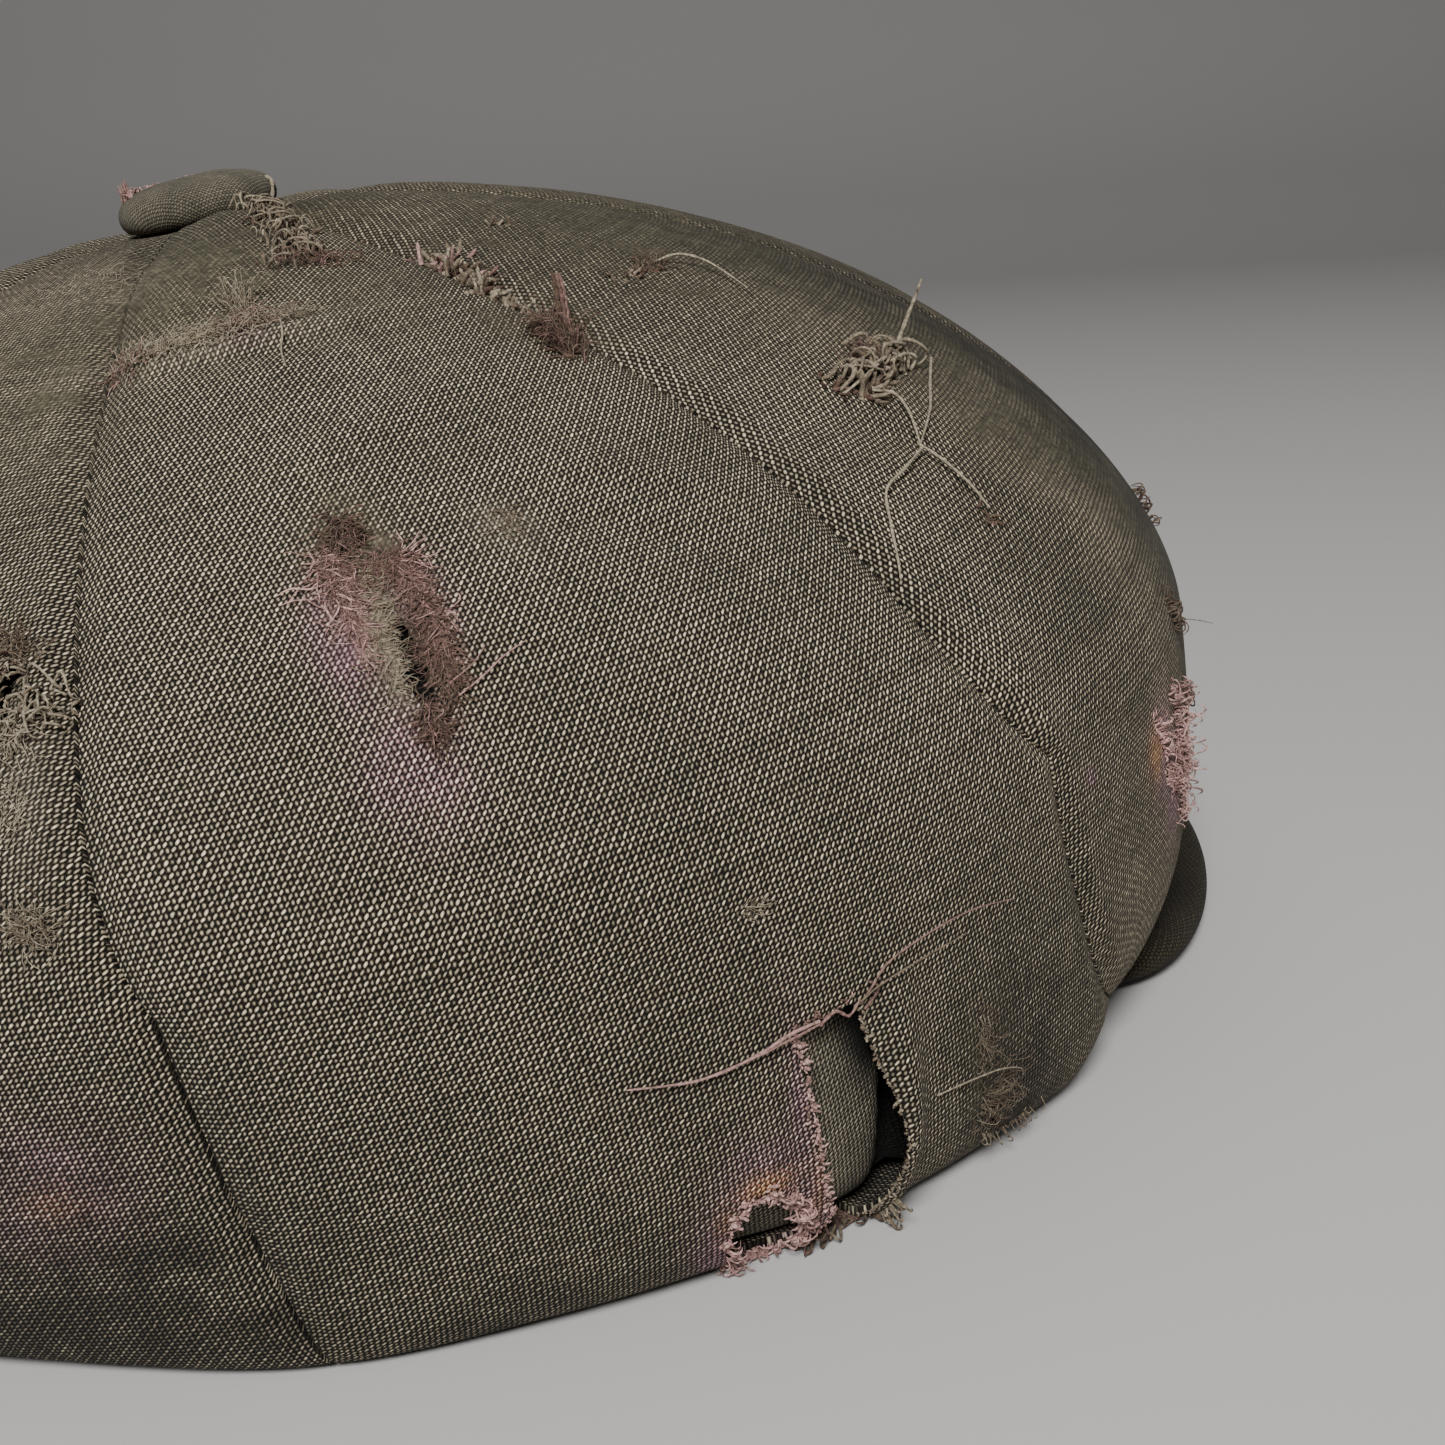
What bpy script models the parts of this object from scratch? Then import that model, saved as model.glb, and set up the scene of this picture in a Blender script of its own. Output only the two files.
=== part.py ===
"""Eight-panel cloth cap with a covered top button, headband, sweatband and stiff peak.

Frame: metres, +Z up, +X towards the peak, the headband's lower edge on z = 0.
"""
import bpy
import math
from mathutils import Matrix, Vector

# crown: driving dimensions
PANELS = 8
CROWN_RADIUS = 0.128
CROWN_HEIGHT = 0.1176
WIDEST_HEIGHT = 0.0465
TOP_POWER = 1.20
SIDE_POWER = 0.72
HEM_RADIUS = 0.925 * CROWN_RADIUS
HEM_CLEARANCE = 0.0008

# where the hem swells out: azimuth and half-width in degrees, height
HEM_BULGES = [(-107.0, 10.0, 0.0040), (-53.0, 9.0, 0.0030)]

# lean of the top, and the dimple the button sits in
FRONT_RISE = 0.172
APEX_BACK = -0.132 * CROWN_RADIUS
APEX_LEFT = 0.065 * CROWN_RADIUS
DIMPLE_DEPTH = 0.0026
DIMPLE_RADIUS = 0.018
APEX_HOLE = 0.004
SEAM_DEPTH = 0.0012
SEAM_WIDTH = 0.0035
PANEL_PUFF = 0.0012
SEAM_GAP = 0.0004
LINING_GAP = 0.0020

# where the seams lean: degrees at the top, degrees at the hem
SEAM_LEAN = {5: (-1.5, 6.0), 6: (-3.0, 14.5)}

# cloth and leather thicknesses
CLOTH = 0.0012
LINING = 0.0005
LINING_INSET = 0.0034
BAND_CLOTH = 0.0014
LEATHER = 0.0011
CLEAR = 0.0004

# headband: an oval of about 57 cm round
BAND_LONG = 0.099
BAND_WIDE = 0.083
BAND_HEIGHT = 0.020
SWEAT_HEIGHT = 0.027

# peak
PEAK_REACH = 0.038
PEAK_HALF_ANGLE = math.radians(51.0)
PEAK_SQUARE = 12.0
PEAK_FADE = math.radians(8.0)
PEAK_ROOT_Z = 0.0022
PEAK_ROOT_GAP = 0.0007
PEAK_TIP_Z = 0.0006
COVER = 0.0010
BOARD = 0.0020

# button
BUTTON_RADIUS = 0.0113
BUTTON_DOME = 0.0040
BUTTON_LIFT = 0.0009
SHANK_RADIUS = 0.0018
SHANK_TOP = 0.0013
STRAND_HALF = 0.0013
STRAND_HEIGHT = 0.0006
BUTTON_TILT = math.atan(FRONT_RISE * CROWN_HEIGHT / CROWN_RADIUS)

PARTS = bpy.data.collections.new("eight_panel_cap")
CUTTERS = bpy.data.collections.new("cutters")


def clear_scene():
    for obj in list(bpy.data.objects):
        bpy.data.objects.remove(obj, do_unlink=True)
    bpy.context.scene.collection.children.link(PARTS)


def material(name, colour, roughness, metallic=0.0):
    mat = bpy.data.materials.new(name)
    mat.use_nodes = True
    shader = mat.node_tree.nodes["Principled BSDF"]
    shader.inputs["Base Color"].default_value = (*colour, 1.0)
    shader.inputs["Roughness"].default_value = roughness
    shader.inputs["Metallic"].default_value = metallic
    mat.diffuse_color = (*colour, 1.0)
    return mat


def smooth(x):
    x = min(max(x, 0.0), 1.0)
    return x * x * (3.0 - 2.0 * x)


def band_radius(azimuth):
    """Radius of the headband's outer face in the direction of azimuth."""
    across = math.cos(azimuth) / BAND_LONG
    along = math.sin(azimuth) / BAND_WIDE
    return 1.0 / math.hypot(across, along)


def wrapped(azimuth):
    return (azimuth + math.pi) % (2.0 * math.pi) - math.pi


def over_peak(azimuth):
    """1 above the peak, falling to 0 outside its ends."""
    past = abs(wrapped(azimuth)) - PEAK_HALF_ANGLE - math.radians(1.5)
    return 1.0 - smooth(past / PEAK_FADE)


def hem_height(azimuth):
    peak_top = PEAK_ROOT_Z + 2.0 * COVER + BOARD + 4.0 * CLEAR
    return HEM_CLEARANCE + peak_top * over_peak(azimuth)


def hem_radius(azimuth):
    total = HEM_RADIUS
    for centre, width, height in HEM_BULGES:
        away = math.degrees(wrapped(azimuth - math.radians(centre)))
        total += height * math.exp(-(away / width) ** 2)
    return total


def profile(azimuth, s):
    """Crown outline as (radius, height): s is 0 at the top, 1 at the band seam."""
    hem_z = hem_height(azimuth)
    hem_r = hem_radius(azimuth)
    if s < 0.60:
        u = 0.5 * math.pi * (1.0 - s / 0.60)
        radius = CROWN_RADIUS * max(math.cos(u), 0.0) ** TOP_POWER
        height = WIDEST_HEIGHT + (CROWN_HEIGHT - WIDEST_HEIGHT) * max(math.sin(u), 0.0) ** TOP_POWER
        return radius, height
    if s < 0.82:
        u = 0.5 * math.pi * (s - 0.60) / 0.22
        radius = hem_r + (CROWN_RADIUS - hem_r) * max(math.cos(u), 0.0) ** SIDE_POWER
        height = hem_z + (WIDEST_HEIGHT - hem_z) * (1.0 - max(math.sin(u), 0.0) ** SIDE_POWER)
        return radius, height
    u = math.radians(70.0) * (s - 0.82) / 0.18
    inner = band_radius(azimuth) + 2.0 * CLEAR
    rise = (BAND_HEIGHT - hem_z) / (1.0 - math.cos(math.radians(70.0)))
    run = (hem_r - inner) / math.sin(math.radians(70.0))
    return hem_r - run * math.sin(u), hem_z + rise * (1.0 - math.cos(u))


def seam_azimuth(seam, s):
    top, hem = SEAM_LEAN.get(seam % PANELS, (0.0, 0.0))
    lean = top * (1.0 - smooth(s / 0.5)) + hem * smooth((s - 0.45) / 0.40)
    return math.radians(22.5 + 45.0 * seam + lean)


def crown_surface(azimuth, s):
    """Outer skin of the crown before the seams pull it in."""
    radius, height = profile(azimuth, s)
    lift = (height / CROWN_HEIGHT) ** 2
    height -= DIMPLE_DEPTH * math.exp(-(radius / DIMPLE_RADIUS) ** 2)
    x = radius * math.cos(azimuth) + APEX_BACK * lift
    y = radius * math.sin(azimuth) + APEX_LEFT * lift
    slope = 1.0 + FRONT_RISE * x / CROWN_RADIUS * smooth(height / 0.03)
    return Vector((x, y, height * slope))


def crown_normal(azimuth, s):
    step = 0.002
    around = crown_surface(azimuth + step, s) - crown_surface(azimuth - step, s)
    down = crown_surface(azimuth, min(s + step, 1.0)) - crown_surface(azimuth, max(s - step, 0.0))
    return down.cross(around).normalized()


def panel_point(panel, t, s, inset, gap=SEAM_GAP):
    """Point on a panel: t runs 0 to 1 from one seam to the next, inset is inwards."""
    first = seam_azimuth(panel - 1, s)
    last = seam_azimuth(panel, s)
    radius = max(profile(0.5 * (first + last), s)[0], 0.001)
    edge = 0.5 * gap / radius
    azimuth = first + edge + t * (last - first - 2.0 * edge)
    from_seam = min(t, 1.0 - t) * (last - first) * radius
    fade = smooth((radius - 0.010) / 0.020) * (1.0 - smooth((s - 0.68) / 0.14))
    pinch = SEAM_DEPTH * fade * (1.0 - smooth(from_seam / SEAM_WIDTH))
    puff = PANEL_PUFF * fade * math.sin(math.pi * t)
    point = crown_surface(azimuth, s)
    return point + crown_normal(azimuth, s) * (puff - pinch - inset)


def top_start(radius):
    """Value of s where the crown outline reaches the given radius."""
    u = math.acos((radius / CROWN_RADIUS) ** (1.0 / TOP_POWER))
    return 0.60 * (1.0 - u / (0.5 * math.pi))


def rows(first):
    upper = [first + (0.56 - first) * (i / 9.0) for i in range(10)]
    return upper + [0.62, 0.66, 0.70, 0.74, 0.78, 0.82, 0.86, 0.91, 0.955, 1.0]


def skin_object(name, grid, thickness, mat, even=True):
    """Closed body from an open grid of points, thickened towards its back."""
    verts = [point for row in grid for point in row]
    width = len(grid[0])
    faces = []
    for j in range(len(grid) - 1):
        for i in range(width - 1):
            a = j * width + i
            faces.append((a, a + width, a + width + 1, a + 1))
    mesh = bpy.data.meshes.new(name)
    mesh.from_pydata(verts, [], faces)
    mesh.update()
    for polygon in mesh.polygons:
        polygon.use_smooth = True
    mesh.materials.append(mat)
    obj = bpy.data.objects.new(name, mesh)
    PARTS.objects.link(obj)
    thick = obj.modifiers.new("thickness", "SOLIDIFY")
    thick.thickness = thickness
    thick.offset = -1.0
    thick.use_even_offset = even
    thick.use_rim = True
    return obj


COLUMNS = [0.0, 0.07, 0.17, 0.33, 0.5, 0.67, 0.75, 0.83, 0.93, 1.0]


def crown_panels(mat):
    for panel in range(PANELS):
        grid = [[panel_point(panel, t, s, 0.0) for t in COLUMNS] for s in rows(top_start(APEX_HOLE))]
        skin_object("crown_panel_%d" % (panel + 1), grid, CLOTH, mat, False)


def lining_tail(azimuth):
    """The lining's lower edge: over the band's top and down behind the sweatband."""
    out = Vector((math.cos(azimuth), math.sin(azimuth), 0.0))
    radius = band_radius(azimuth)
    steps = [(0.0020, 0.0036), (-0.0006, 0.0038), (-0.0022, 0.0016), (-BAND_CLOTH - CLEAR, -0.0060)]
    return [out * (radius + across) + Vector((0.0, 0.0, BAND_HEIGHT + up)) for across, up in steps]


def lining_panels(mat):
    main = rows(top_start(0.0022))
    for panel in range(PANELS):
        grid = [[panel_point(panel, t, s, LINING_INSET, LINING_GAP) for t in COLUMNS] for s in main]
        edge = [lining_tail(math.atan2(point.y, point.x)) for point in grid[-1]]
        grid += [[tail[k] for tail in edge] for k in range(4)]
        skin_object("lining_panel_%d" % (panel + 1), grid, LINING, mat, False)


def oval_strip(name, inset_low, inset_high, low, high, thickness, mat):
    """Upright strip following the head oval, open by a hair at the back seam."""
    steps = 48
    gap = 0.5 * SEAM_GAP / BAND_LONG
    grid = []
    for k in range(4):
        share = k / 3.0
        height = low + (high - low) * share
        inset = inset_low + (inset_high - inset_low) * share
        row = []
        for i in range(steps + 1):
            azimuth = -math.pi + gap + (2.0 * math.pi - 2.0 * gap) * i / steps
            radius = band_radius(azimuth) - inset
            row.append(Vector((radius * math.cos(azimuth), radius * math.sin(azimuth), height)))
        grid.append(row)
    grid.reverse()
    return skin_object(name, grid, thickness, mat)


def peak_half_angle(inset):
    """Half angle the peak spans once its outline is drawn in by inset."""
    return PEAK_HALF_ANGLE - inset / BAND_LONG


def peak_reach(angle, inset):
    """Distance from the headband to the peak's rim, drawn in by inset."""
    share = min(abs(angle) / peak_half_angle(inset), 1.0)
    return (PEAK_REACH - PEAK_ROOT_GAP - inset) * math.sqrt(1.0 - share ** PEAK_SQUARE)


def peak_point(angle, share, inset, height):
    reach = peak_reach(angle, inset) * share
    radius = band_radius(angle) + PEAK_ROOT_GAP + reach
    drop = (PEAK_TIP_Z - PEAK_ROOT_Z) * (reach / PEAK_REACH) ** 1.5
    return Vector((radius * math.cos(angle), radius * math.sin(angle), PEAK_ROOT_Z + drop + height))


def peak_angles(inset, steps=26):
    limit = peak_half_angle(inset) - math.radians(0.5)
    return [limit * math.sin(0.5 * math.pi * (2.0 * i / steps - 1.0)) for i in range(steps + 1)]


def peak_slab(name, low, high, inset, mat):
    """Closed flat layer of the peak between two heights above its underside."""
    shares = [0.0, 0.25, 0.5, 0.75, 1.0]
    grid = [[peak_point(a, share, inset, high) for a in peak_angles(inset)] for share in shares]
    return skin_object(name, grid, high - low, mat, False)


def peak_cover(mat):
    """Upper cloth of the peak, rolled down round the rim."""
    full = 2.0 * COVER + BOARD + 2.0 * CLEAR
    flat = [(share, 0.0022, 1.0) for share in (0.0, 0.3, 0.6, 0.85)]
    roll = [(1.0, 0.0022, 1.0), (1.0, 0.0009, 0.82), (1.0, 0.0004, 0.48), (1.0, 0.0008, 0.18)]
    angles = peak_angles(0.0010)
    grid = [[peak_point(a, share, inset, full * up) for a in angles] for share, inset, up in flat + roll]
    return skin_object("peak_top_cover", grid, COVER, mat)


def lathe(name, outline, mat, steps=24):
    """Closed body turned round Z from a closed outline of (radius, height)."""
    mesh = bpy.data.meshes.new(name)
    verts = [(radius, 0.0, height) for radius, height in outline]
    edges = [(i, i + 1) for i in range(len(outline) - 1)]
    if outline[0][0] > 0.0:
        edges.append((len(outline) - 1, 0))
    mesh.from_pydata(verts, edges, [])
    mesh.materials.append(mat)
    obj = bpy.data.objects.new(name, mesh)
    PARTS.objects.link(obj)
    screw = obj.modifiers.new("turn", "SCREW")
    screw.axis = "Z"
    screw.steps = steps
    screw.render_steps = steps
    screw.use_merge_vertices = True
    screw.merge_threshold = 0.00001
    return obj


def button_frame():
    """Placement of the button: on the crown's top, square to the sloping cloth."""
    apex = crown_surface(0.0, 0.0)
    return Matrix.Translation(apex) @ Matrix.Rotation(-BUTTON_TILT, 4, "Y")


def dome(radius, height, low, count):
    """Half outline of a puffy dome from its crest to its widest rim and underside."""
    points = []
    for i in range(count + 1):
        u = 0.5 * math.pi * i / count
        points.append((radius * math.sin(u) ** 0.9, low + height * math.cos(u) ** 0.8))
    return points


def button(cloth, metal, thread):
    place = button_frame()
    wall = 0.0008
    outer = dome(BUTTON_RADIUS, BUTTON_DOME, 0.0, 9)
    inner = dome(BUTTON_RADIUS - wall, BUTTON_DOME - wall, 0.0, 9)
    outer[0] = (0.0, BUTTON_DOME)
    inner[0] = (0.0, BUTTON_DOME - wall)
    under = [(BUTTON_RADIUS - 0.0005, -0.0012), (BUTTON_RADIUS - 0.0022, -0.0018),
             (BUTTON_RADIUS - 0.0022, -0.0018 + wall), (BUTTON_RADIUS - 0.0012, -0.0006)]
    cover = lathe("button_cover", outer + under + inner[::-1], cloth)
    gap = wall + 0.0003
    shell_out = dome(BUTTON_RADIUS - gap, BUTTON_DOME - gap, 0.0, 7)
    shell_in = dome(BUTTON_RADIUS - gap - 0.0005, BUTTON_DOME - gap - 0.0005, 0.0, 7)
    shell_out[0] = (0.0, BUTTON_DOME - gap)
    shell_in[0] = (0.0, BUTTON_DOME - gap - 0.0005)
    shell = lathe("button_shell", shell_out + shell_in[::-1], metal)
    plate_radius = BUTTON_RADIUS - 0.0026
    plate = lathe("button_back", [(0.0, 0.0012), (plate_radius - 0.0006, 0.0012),
                                  (plate_radius - 0.0002, -0.0006), (plate_radius - 0.0006, -0.0012),
                                  (0.0, -0.0012)], metal)
    for obj in (cover, shell, plate):
        obj.matrix_world = place @ Matrix.Translation((0.0, 0.0, BUTTON_LIFT + 0.0018))
    shank = [(SHANK_RADIUS * math.cos(u), 0.0, SHANK_TOP - SHANK_RADIUS * math.sin(u)) for u in arc(12)]
    wire("button_shank", shank, 0.00035, metal).matrix_world = place
    strand = [(0.0, -STRAND_HALF, -0.0021)]
    strand += [(0.0, -STRAND_HALF * math.cos(u), STRAND_HEIGHT - STRAND_HALF * (1.0 - math.sin(u))) for u in arc(12)]
    strand += [(0.0, STRAND_HALF, -0.0021)]
    wire("button_thread", strand, 0.00045, thread).matrix_world = place


def arc(count):
    return [math.pi * i / count for i in range(count + 1)]


def wire(name, path, radius, mat):
    """Round wire or strand along a path, closed at both ends."""
    curve = bpy.data.curves.new(name, "CURVE")
    curve.dimensions = "3D"
    spline = curve.splines.new("POLY")
    spline.points.add(len(path) - 1)
    for point, place in zip(spline.points, path):
        point.co = (*place, 1.0)
    curve.bevel_depth = radius
    curve.bevel_resolution = 2
    curve.use_fill_caps = True
    curve.materials.append(mat)
    obj = bpy.data.objects.new(name, curve)
    PARTS.objects.link(obj)
    return obj


def crown_patch(mat):
    """Round cloth patch under the crown's top that the button thread is sewn to."""
    patch = lathe("crown_patch", [(0.0, 0.0009), (0.0085, 0.0009), (0.0085, 0.0), (0.0, 0.0)], mat)
    patch.matrix_world = button_frame() @ Matrix.Translation((0.0, 0.0, -0.0032))
    return patch


def centre_on_floor():
    """Puts the frame's origin at the middle of the base of the whole cap."""
    bpy.context.view_layer.update()
    graph = bpy.context.evaluated_depsgraph_get()
    low = Vector((9.0, 9.0, 9.0))
    high = Vector((-9.0, -9.0, -9.0))
    for obj in PARTS.objects:
        shape = obj.evaluated_get(graph)
        mesh = shape.to_mesh()
        for vertex in mesh.vertices:
            place = shape.matrix_world @ vertex.co
            for k in range(3):
                low[k] = min(low[k], place[k])
                high[k] = max(high[k], place[k])
        shape.to_mesh_clear()
    shift = Vector((-0.5 * (low.x + high.x), -0.5 * (low.y + high.y), -low.z))
    for obj in PARTS.objects:
        obj.matrix_world = Matrix.Translation(shift) @ obj.matrix_world
    print("shift", tuple(round(v, 6) for v in shift), "size", tuple(round(v, 5) for v in high - low))
    apex = button_frame() @ Vector((0.0, 0.0, 0.0)) + shift
    print("apex", tuple(round(v, 6) for v in apex), "tilt", round(math.degrees(BUTTON_TILT), 3))


def build():
    clear_scene()
    cloth = material("crown_cloth", (0.145, 0.120, 0.090), 0.95)
    lining = material("lining_cloth", (0.095, 0.080, 0.055), 0.90)
    band = material("band_cloth", (0.110, 0.090, 0.068), 0.95)
    leather = material("sweat_leather", (0.090, 0.045, 0.022), 0.55)
    peak_cloth = material("peak_cloth", (0.100, 0.078, 0.055), 0.95)
    board = material("peak_board", (0.300, 0.230, 0.150), 0.85)
    metal = material("button_metal", (0.420, 0.400, 0.360), 0.40, 1.0)
    thread = material("thread", (0.230, 0.180, 0.150), 0.90)
    crown_panels(cloth)
    lining_panels(lining)
    crown_patch(lining)
    oval_strip("headband", 0.0, 0.0, 0.0, BAND_HEIGHT, BAND_CLOTH, band)
    sweat = BAND_CLOTH + LINING + 3.0 * CLEAR
    oval_strip("sweatband", sweat, sweat + 0.0012, 0.0008, SWEAT_HEIGHT, LEATHER, leather)
    peak_slab("peak_under_cover", 0.0, COVER, 0.0032, peak_cloth)
    peak_slab("peak_board", COVER + CLEAR, COVER + CLEAR + BOARD, 0.0036, board)
    peak_cover(peak_cloth)
    button(cloth, metal, thread)
    centre_on_floor()


build()
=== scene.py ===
"""Looks of the eight-panel cloth cap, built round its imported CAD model.

Places on the crown are given as (azimuth in degrees, distance down the cloth from the top in millimetres).
Azimuth 0 is the front, over the peak; the worn side seen by the camera lies from -120 to -35 degrees.
The wear and the loose yarns are sized in millimetres, and everything else is in metres.
"""
import math
import bpy
import numpy as np
from mathutils import Matrix, Vector


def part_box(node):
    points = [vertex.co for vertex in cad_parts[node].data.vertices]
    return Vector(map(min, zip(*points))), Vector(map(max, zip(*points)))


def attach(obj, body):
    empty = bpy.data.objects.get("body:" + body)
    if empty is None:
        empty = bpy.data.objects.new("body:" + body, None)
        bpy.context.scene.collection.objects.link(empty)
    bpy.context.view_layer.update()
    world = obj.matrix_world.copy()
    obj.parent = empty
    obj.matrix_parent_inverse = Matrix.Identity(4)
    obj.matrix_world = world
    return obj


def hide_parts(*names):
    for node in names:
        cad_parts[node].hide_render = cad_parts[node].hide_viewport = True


PI = math.pi
RNG = np.random.default_rng(8)

# crown, the same driving dimensions as the CAD model, in metres
PANELS = 8
CROWN_RADIUS = 0.128
CROWN_HEIGHT = 0.1176
WIDEST_HEIGHT = 0.0465
TOP_POWER = 1.20
SIDE_POWER = 0.72
RIM_SHARE = 0.60
HEM_SHARE = 0.82
HEM_TURN = math.radians(70.0)
HEM_RADIUS = 0.925 * CROWN_RADIUS
HEM_CLEARANCE = 0.0008
HEM_BULGES = [(-107.0, 10.0, 0.0040), (-53.0, 9.0, 0.0030)]
FRONT_RISE = 0.172
APEX_BACK = -0.132 * CROWN_RADIUS
APEX_LEFT = 0.065 * CROWN_RADIUS
DIMPLE_DEPTH = 0.0026
DIMPLE_RADIUS = 0.018
SEAM_LEAN = {5: (-1.5, 6.0), 6: (-3.0, 14.5)}
LINING = 0.0005
LINING_INSET = 0.0034
BAND_CLOTH = 0.0014
LEATHER = 0.0011
CLEAR = 0.0004
PANEL_PUFF = 0.0012
BAND_LONG = 0.099
BAND_WIDE = 0.083
BAND_MEAN = 0.091
BAND_HEIGHT = 0.020
SWEAT_HEIGHT = 0.027
PEAK_REACH = 0.038
PEAK_ROOT_Z = 0.0022
PEAK_TIP_Z = 0.0006
PEAK_ROOT_GAP = 0.0007
COVER = 0.0010
BOARD = 0.0020
PEAK_THICK = 2 * COVER + BOARD
PEAK_TOP = PEAK_ROOT_Z + PEAK_THICK + 4 * CLEAR
PEAK_HALF_ANGLE = math.radians(51.0)
PEAK_SQUARE = 12.0
PEAK_FADE = math.radians(8.0)
BUTTON_RADIUS = 0.0113
BUTTON_DOME = 0.0040
BUTTON_LIFT = 0.0009
BUTTON_TILT = math.atan(FRONT_RISE * CROWN_HEIGHT / CROWN_RADIUS)
PATCH_RADIUS = 0.0085
THREAD = 0.00060

# the three panels the camera sees; panels are counted anticlockwise from the front one, 0
LEFT, MAIN, RIGHT = -3, -2, -1
NEAR_GRID, FAR_GRID = 0.00075, 0.0022
NEAR_LINING_GRID, FAR_LINING_GRID = 0.0015, 0.0030

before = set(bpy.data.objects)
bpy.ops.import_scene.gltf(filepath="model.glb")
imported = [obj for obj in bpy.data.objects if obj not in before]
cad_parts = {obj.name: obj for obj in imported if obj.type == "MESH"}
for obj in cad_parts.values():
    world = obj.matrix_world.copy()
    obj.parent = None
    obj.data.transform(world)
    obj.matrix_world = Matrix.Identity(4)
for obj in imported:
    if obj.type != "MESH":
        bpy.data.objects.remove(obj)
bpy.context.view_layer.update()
BAND_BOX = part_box("headband")
SHIFT = np.array([*((BAND_BOX[0] + BAND_BOX[1]) / 2.0).xy, 0.0])


# ---------------------------------------------------------------- crown shape
def smooth(x):
    x = np.clip(x, 0.0, 1.0)
    return x * x * (3.0 - 2.0 * x)


def band_radius(azimuth):
    return 1.0 / np.hypot(np.cos(azimuth) / BAND_LONG, np.sin(azimuth) / BAND_WIDE)


def hem_height(azimuth):
    turned = (azimuth + PI) % (2.0 * PI) - PI
    past = np.abs(turned) - PEAK_HALF_ANGLE - math.radians(1.5)
    return HEM_CLEARANCE + PEAK_TOP * (1.0 - smooth(past / PEAK_FADE))


def hem_radius(azimuth):
    total = HEM_RADIUS
    for centre, width, height in HEM_BULGES:
        away = (np.degrees(azimuth) - centre + 180.0) % 360.0 - 180.0
        total = total + height * np.exp(-(away / width) ** 2)
    return total


def profile(azimuth, s):
    """Crown outline as radius and height: s is 0 at the top, 1 at the band seam."""
    hem_z = hem_height(azimuth)
    hem_r = hem_radius(azimuth)
    u = 0.5 * PI * (1.0 - np.clip(s / RIM_SHARE, 0.0, 1.0))
    top_r = CROWN_RADIUS * np.cos(u) ** TOP_POWER
    top_z = WIDEST_HEIGHT + (CROWN_HEIGHT - WIDEST_HEIGHT) * np.sin(u) ** TOP_POWER
    u = 0.5 * PI * np.clip((s - RIM_SHARE) / (HEM_SHARE - RIM_SHARE), 0.0, 1.0)
    side_r = hem_r + (CROWN_RADIUS - hem_r) * np.abs(np.cos(u)) ** SIDE_POWER
    side_z = hem_z + (WIDEST_HEIGHT - hem_z) * (1.0 - np.sin(u) ** SIDE_POWER)
    u = HEM_TURN * np.clip((s - HEM_SHARE) / (1.0 - HEM_SHARE), 0.0, 1.0)
    inner = band_radius(azimuth) + 2.0 * CLEAR
    under_r = hem_r - (hem_r - inner) / math.sin(HEM_TURN) * np.sin(u)
    under_z = hem_z + (BAND_HEIGHT - hem_z) / (1.0 - math.cos(HEM_TURN)) * (1.0 - np.cos(u))
    radius = np.where(s < RIM_SHARE, top_r, np.where(s < HEM_SHARE, side_r, under_r))
    height = np.where(s < RIM_SHARE, top_z, np.where(s < HEM_SHARE, side_z, under_z))
    return radius, height


def seam_azimuth(seam, s):
    top, hem = SEAM_LEAN.get(seam % PANELS, (0.0, 0.0))
    lean = top * (1.0 - smooth(s / 0.5)) + hem * smooth((s - 0.45) / 0.40)
    return np.radians(22.5 + 45.0 * seam + lean)


def crown_surface(azimuth, s):
    radius, height = profile(azimuth, s)
    lift = (height / CROWN_HEIGHT) ** 2
    height = height - DIMPLE_DEPTH * np.exp(-(radius / DIMPLE_RADIUS) ** 2)
    x = radius * np.cos(azimuth) + APEX_BACK * lift
    y = radius * np.sin(azimuth) + APEX_LEFT * lift
    slope = 1.0 + FRONT_RISE * x / CROWN_RADIUS * smooth(height / 0.03)
    return np.stack([x, y, height * slope], axis=-1) + SHIFT


def crown_normal(azimuth, s):
    step = 0.002
    around = crown_surface(azimuth + step, s) - crown_surface(azimuth - step, s)
    above, below = np.maximum(s - step, 0.0), np.minimum(s + step, 1.0)
    n = np.cross(crown_surface(azimuth, below) - crown_surface(azimuth, above), around)
    return n / np.maximum(np.linalg.norm(n, axis=-1, keepdims=True), 1e-12)


ARC_S = np.linspace(0.0, 1.0, 4001)
ARC_R, ARC_Z = profile(np.full_like(ARC_S, -0.5 * PI), ARC_S)
ARC = np.concatenate([[0.0], np.cumsum(np.hypot(np.diff(ARC_R), np.diff(ARC_Z)))])


def s_of(arc):
    """Share of the profile, from the distance down the cloth from the top in metres."""
    return np.interp(arc, ARC, ARC_S)


def radius_at(arc):
    return np.interp(arc, ARC, ARC_R)


# ---------------------------------------------------------------- noise in plain numpy
def lattice(ix, iy, seed):
    h = np.sin(ix * 127.1 + iy * 311.7 + seed * 74.7) * 43758.5453
    return h - np.floor(h)


def value_noise(x, y, seed=0):
    ix, iy = np.floor(x), np.floor(y)
    fx, fy = smooth(x - ix), smooth(y - iy)
    a = lattice(ix, iy, seed) * (1 - fx) + lattice(ix + 1, iy, seed) * fx
    b = lattice(ix, iy + 1, seed) * (1 - fx) + lattice(ix + 1, iy + 1, seed) * fx
    return a * (1 - fy) + b * fy


def fractal(x, y, seed=0, octaves=3):
    total, size = 0.0, 0.5
    for k in range(octaves):
        total = total + size * (value_noise(x * 2 ** k, y * 2 ** k, seed + 9 * k) - 0.5)
        size *= 0.5
    return total


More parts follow.
